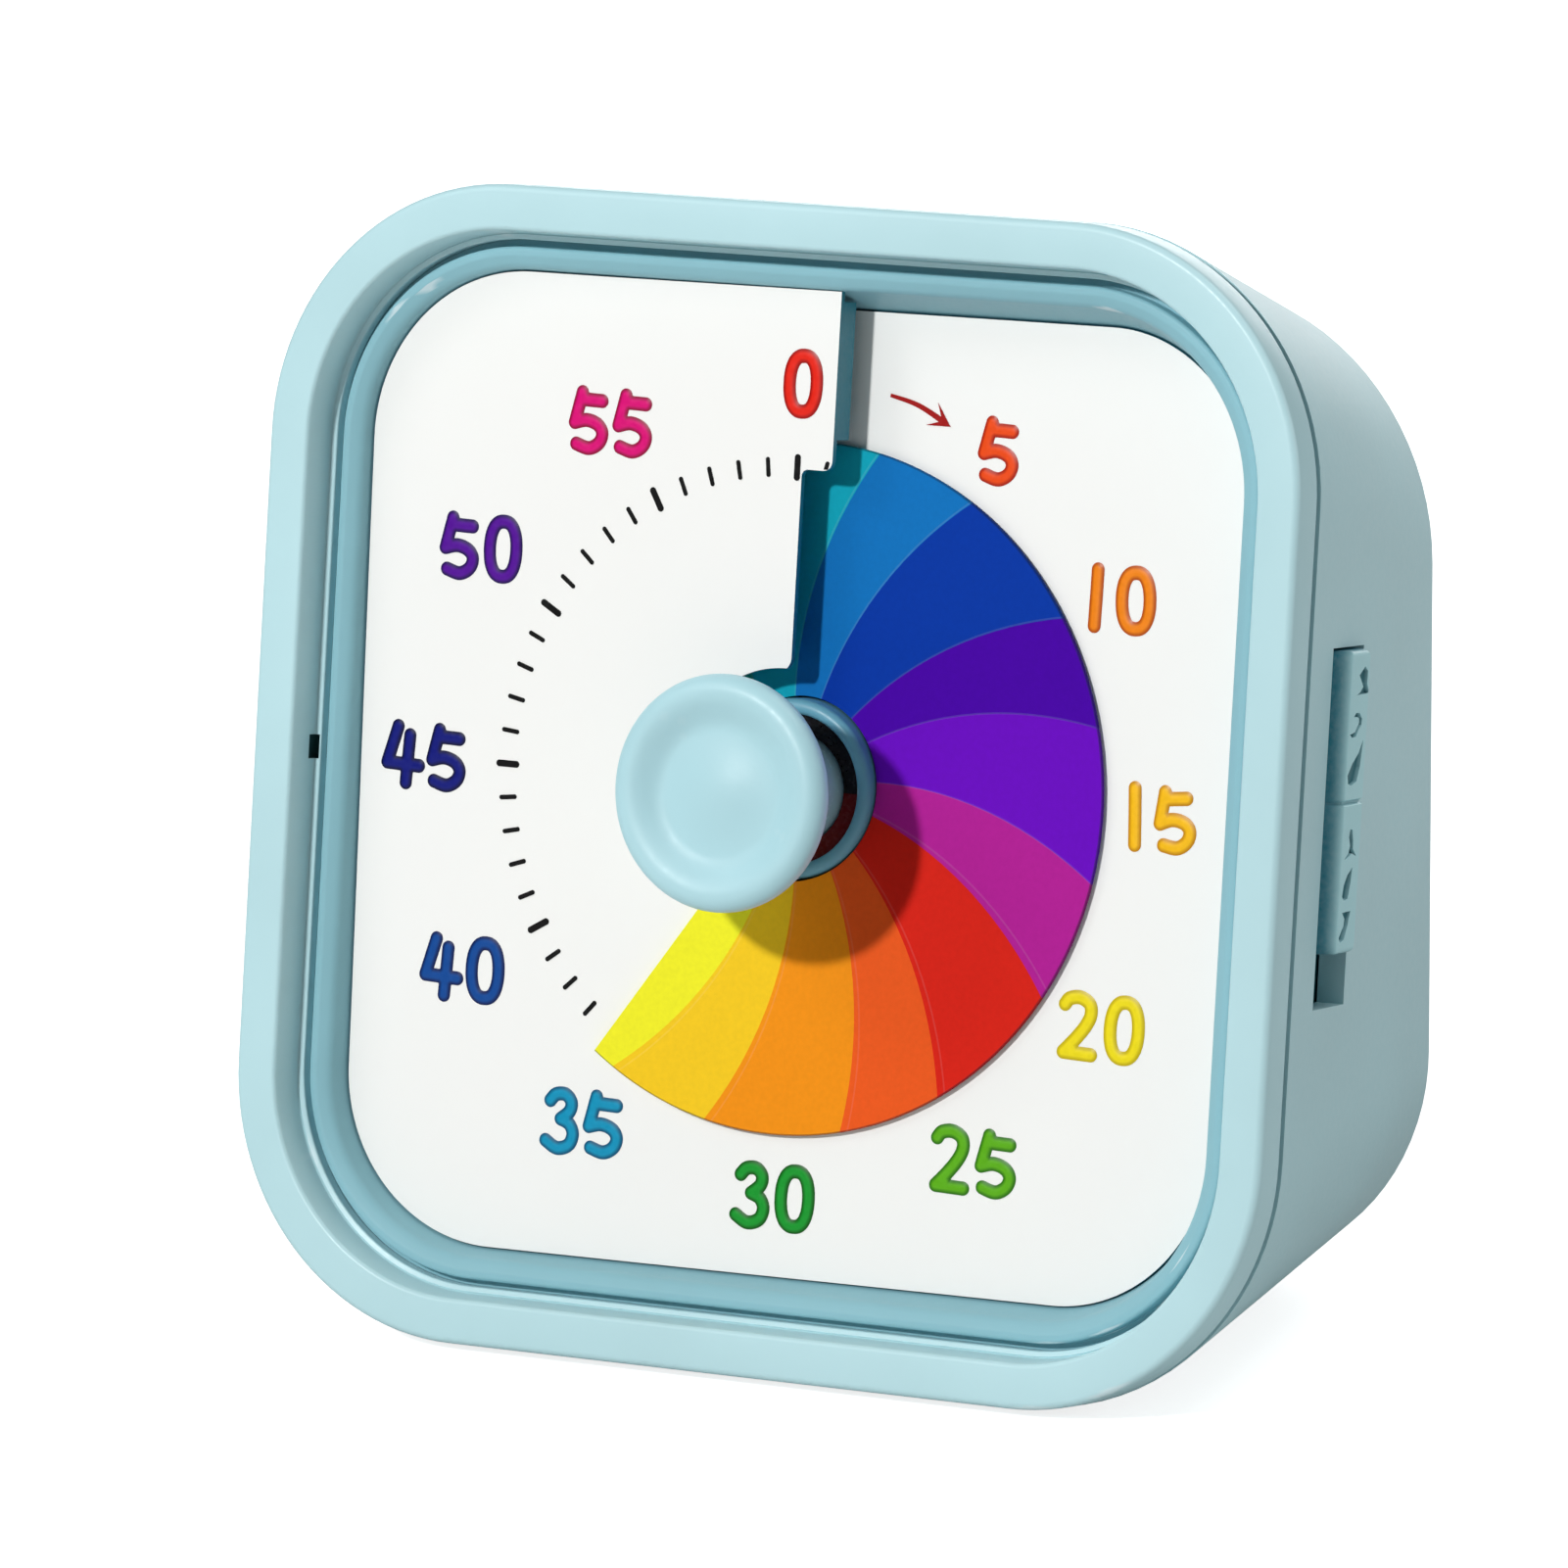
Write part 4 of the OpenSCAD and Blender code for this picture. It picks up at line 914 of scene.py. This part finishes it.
def sliderShape():
    look = sliderLook
    half, full = look["length"] / 2, look["fullDepth"]
    ends = [look["endRound"] * (1 - cos(radians(90 * k / look["endSteps"]))) for k in range(look["endSteps"] + 1)]
    # the upper half's slices from the middle out; the lower half mirrors them
    upper = [(look["grooveFlat"], full, 1)] + [(z, full, 0) for z in (look["grooveHalf"], *look["plainSlices"])]
    upper += [(half - distance, distance, 0) for distance in reversed(ends)]
    slices = [(-z, distance, groove) for z, distance, groove in reversed(upper)] + upper
    return skin([sliderSlice(*values) for values in slices])


# sunk marks on the slider's top, as outlines (along, up)
markLook = {"middle": -1.1, "stretch": 1.3, "shift": 0.1, "sink": 0.3, "over": 0.5, "slack": 0.03,
            "lowest": 0.5, "facing": 0.9, "colour": srgb(54, 112, 122)}
sliderMarks = [
    [(-0.3, 11.75), (0.25, 11.4), (0.2, 10.55), (0.75, 9.8), (-1.7, 9.75), (-1.1, 9.9), (-0.5, 10.3), (-1.35, 11.15)],
    [(-2.0, 8.2), (-1.6, 8.5), (-0.9, 8.45), (-0.4, 8.05), (-0.45, 7.6), (-1.0, 7.25), (-1.4, 6.8), (-2.1, 6.75),
     (-2.6, 7.0), (-2.1, 7.05), (-1.6, 7.15), (-1.3, 7.45), (-0.95, 7.75), (-0.95, 8.05), (-1.3, 8.2)],
    [(0.1, 6.55), (-0.3, 4.6), (-0.8, 3.6), (-1.8, 3.35), (-2.4, 3.5), (-2.6, 4.1), (-1.8, 4.9), (-0.7, 5.6)],
    [(-1.4, 0.25), (-1.0, 0.2), (-0.75, -0.6), (-0.7, -1.2), (0.0, -1.75), (-0.85, -1.5), (-1.6, -1.75), (-2.3, -1.9),
     (-1.5, -1.4), (-1.3, -0.9), (-1.6, -0.3)],
    [(-0.6, -2.5), (-0.8, -3.6), (-1.2, -4.7), (-1.9, -4.8), (-2.3, -4.5), (-2.1, -3.7), (-1.5, -3.0)],
    [(-2.1, -5.65), (-0.5, -5.6), (-0.9, -6.6), (-1.5, -7.6), (-2.2, -7.75), (-2.5, -7.4), (-1.7, -6.6), (-1.6, -6.1)],
]


def markShapes():
    look = markLook
    outs = (sliderLook["height"] - look["sink"], sliderLook["height"] + look["over"])
    shapes = []
    for outline in sliderMarks:
        wide = [((along - look["middle"]) * look["stretch"] + look["shift"], z) for along, z in outline]
        shapes.append(skin([[placeSide(out, along, z) for along, z in wide] for out in outs]))
    return joined(shapes)


def inMark(spots, facing):
    low, high = markLook["lowest"], sliderLook["height"] - markLook["sink"] + markLook["slack"]
    return all(low < outOfSide(x, y) < high for x, y, z in spots) and abs(facing[0]) > markLook["facing"]


# pale on top, darker towards its foot in the slot and on its front flank: painted shade
def sliderMaterial():
    look = sliderLook
    material, tree, shader = newMaterial("sliderPlastic", look["specular"])
    outward = across * cos(sideLean) + deep * sin(sideLean)
    where = node(tree, "TexCoord")
    height = node(tree, "VectorMath", operation="DOT_PRODUCT")
    tree.links.new(where.outputs["Object"], height.inputs[0])
    height.inputs[1].default_value = outward
    foot = place(look["sideX"], look["sideY"], 0).dot(outward)
    tall = spread(tree, height.outputs["Value"], 0, 1, foot - 0.2 * mm, foot + (look["height"] - 0.03) * mm)
    fine = grainNoise(tree, 2200, 3)
    tone = blendColour(tree, calc(tree, "POWER", tall, look["shadeDeepening"]), look["footShadeColour"], look["topColour"])
    tone = blendColour(tree, spread(tree, fine, 0, 0.05), tone, white)
    surface(tree, shader, tone, spread(tree, fine, 0.38, 0.48), fine, 0.06, finishLook["deepRelief"])
    return material


volumeSlider = finishMesh("volumeSlider", sliderShape(), "slider", sliderMaterial(),
                          ["volume_slider"])
cutAway(volumeSlider, *markShapes())
# the sunk marks' floors are painted darker, as painted shade in the hollows
markShadePlastic = moulded("markShadePlastic", markLook["colour"])
dressPart(volumeSlider, markShadePlastic, inMark)

# plate behind the shell that carries the slider, with its switch lever
plateLook = {"inner": -3.0, "outer": -2.2, "half": 4.65, "length": 30.3, "ease": 0.15, "colour": srgb(14, 128, 140),
             "leverAlong": (0.3, 1.9), "leverHalf": 0.8, "leverReach": 2, "leverRoot": 0.1}


def plateShape():
    look = plateLook
    middle = sliderLook["middle"]
    plate = block((look["inner"], look["outer"]), (-look["half"], look["half"]),
                  (middle - look["length"] / 2, middle + look["length"] / 2), placeSide)
    lever = block((look["inner"] - look["leverReach"], look["inner"] + look["leverRoot"]), look["leverAlong"],
                  (middle - look["leverHalf"], middle + look["leverHalf"]), placeSide)
    return joined([plate, lever])


platePlastic = moulded("platePlastic", plateLook["colour"], grain=2200, bump=0.06)
easeEdges(finishMesh("sliderPlate", plateShape(), "slider", platePlastic), plateLook["ease"])

lidPlastic = moulded("lidPlastic", caseLook["shellColour"], **shellFinish)
easedCopy("battery_lid", "batteryLid", "lid", lidPlastic, 0.2)
print("slider and lid done")

# finishes of the pieces that keep their packed form
packedFinishes = {
    metalFinish("brightSteel", srgb(200, 202, 205), 0.28, (1, 12, 12)):
        ["spindle", "intermediate_arbor", "rotor_arbor", "stator", "contact_plate", "contact_spring"],
    metalFinish("zincScrew", srgb(188, 190, 196), 0.34):
        ["case_screw_1", "case_screw_2", "case_screw_3", "case_screw_4", "movement_screw_1", "movement_screw_2"],
    metalFinish("copperWire", srgb(196, 120, 70), 0.3, (1, 30, 30), 2400, 0.4): ["drive_coil"],
    metalFinish("sinteredMagnet", srgb(92, 92, 96), 0.5): ["rotor_magnet"],
    moulded("gearPlastic", srgb(232, 228, 214), roughness=0.4, edge=0.1): ["output_wheel", "intermediate_wheel"],
    moulded("blackPlastic", srgb(38, 38, 41), roughness=0.42, grain=2000, bump=0.1, edge=0.02):
        ["movement_front", "movement_back", "buzzer", "slide_switch"],
    moulded("padRubber", srgb(150, 154, 156), roughness=0.75, grain=1500, bump=0.2, edge=0.1):
        ["foot_pad_1", "foot_pad_2", "foot_pad_3", "foot_pad_4"],
    moulded("boardMask", srgb(24, 92, 58), roughness=0.35, grain=900, bump=0.1, mottle=0.08, edge=0.1):
        ["circuit_board"],
    moulded("cellJacket", srgb(192, 195, 199), roughness=0.3, grain=1200, bump=0.04, mottle=0.05): ["battery_cell"],
}
for material, names in packedFinishes.items():
    for name in names:
        nodes[name].data.materials.clear()
        nodes[name].data.materials.append(material)
print("finishes done")

# floor, sky, lamps and camera; whiten lifts the floor for the camera only
stageLook = {
    "floor": srgb(208, 208, 207), "size": 6.0, "whiten": 0.8, "sky": (0.96, 0.98, 1.0, 1), "skyStrength": 0.12,
    "target": (0, 6, 0),
}


def floorMaterial():
    material, tree, shader = newMaterial("paleFloor")
    path = node(tree, "LightPath")
    shader.inputs["Emission Color"].default_value = white
    lift = calc(tree, "MULTIPLY", path.outputs["Is Camera Ray"], stageLook["whiten"])
    tree.links.new(lift, shader.inputs["Emission Strength"])
    cloud = grainNoise(tree, 3, 2)
    tone = blendColour(tree, spread(tree, cloud, 0, 1), shade(stageLook["floor"], 0.99), stageLook["floor"])
    surface(tree, shader, tone, spread(tree, cloud, 0.7, 0.8))
    return material


half = stageLook["size"] / 2
floorMesh = bpy.data.meshes.new("floor")
floorMesh.from_pydata([(-half, -half, 0), (half, -half, 0), (half, half, 0), (-half, half, 0)], [], [(0, 1, 2, 3)])
floorMesh.materials.append(floorMaterial())
floor = linked("floor", floorMesh)


# soft light from the sky, plain white where the camera sees it
def makeSky():
    world = bpy.data.worlds.new("studio")
    bpy.context.scene.world = world
    world.use_nodes = True
    tree = world.node_tree
    tree.nodes.clear()
    soft = node(tree, "Background", Color=stageLook["sky"], Strength=stageLook["skyStrength"])
    plain = node(tree, "Background", Color=white, Strength=1)
    path = node(tree, "LightPath")
    switch = node(tree, "MixShader")
    out = node(tree, "OutputWorld")
    seen = calc(tree, "MAXIMUM", path.outputs["Is Camera Ray"], path.outputs["Is Transmission Ray"])
    for socket, value in zip(switch.inputs, (seen, soft.outputs[0], plain.outputs[0])):
        tree.links.new(value, socket)
    tree.links.new(switch.outputs[0], out.inputs[0])


makeSky()
centre = place(*stageLook["target"])
keyWay = (across * -0.179 + deep * -0.918 + rise * 0.346).normalized()
sideWay = (across * -0.6 + deep * -0.57 + rise * 0.56).normalized()
# offset from the target in metres, watts, and the width and height of each lamp; no height makes it round
lamps = {
    "keyLamp": (keyWay * 1.1, 8.0, 0.075, None),
    "sideLamp": (sideWay * 1.1, 1.6, 0.34, None),
    "topLamp": (Vector((0.4, 0.2, 1.0)), 2.8, 0.5, None),
    "backLamp": (Vector((-0.22, 0.95, 0.24)), 3.5, 0.8, 0.36),
    "fillLamp": (Vector((1.0, 0.3, 0.32)), 2.0, 0.5, None),
}
for name, (offset, watts, width, height) in lamps.items():
    data = bpy.data.lights.new(name, "AREA")
    data.energy = watts
    data.shape = "RECTANGLE" if height else "DISK"
    data.size = width
    if height:
        data.size_y = height
    lampObject = linked(name, data)
    lampObject.location = centre + offset
    lampObject.rotation_euler = (-offset).to_track_quat("-Z", "Y").to_euler()

# camera's place and aim in the face's frame in mm, its roll in degrees, lens and sensor in mm, near and far in metres
cameraLook = {"from": (452.24, -814.14, 61.90), "at": (2.368, 0, 0.703), "roll": 3.1665, "lens": 300.46, "sensor": 36,
              "near": 0.05, "far": 20}


def makeCamera():
    data = bpy.data.cameras.new("camera")
    data.lens = cameraLook["lens"]
    data.sensor_width = cameraLook["sensor"]
    data.clip_start = cameraLook["near"]
    data.clip_end = cameraLook["far"]
    start, aim = place(*cameraLook["from"]), place(*cameraLook["at"])
    forward = (aim - start).normalized()
    level = forward.cross(rise).normalized()
    upright = level.cross(forward)
    roll = radians(cameraLook["roll"])
    right = level * cos(roll) + upright * sin(roll)
    stand = Matrix((right, right.cross(forward), -forward)).transposed().to_4x4()
    stand.translation = start
    camera = linked("camera", data)
    camera.matrix_world = stand
    return camera


bpy.context.scene.camera = makeCamera()
bpy.context.scene.view_settings.view_transform = "Standard"
print("stage done")
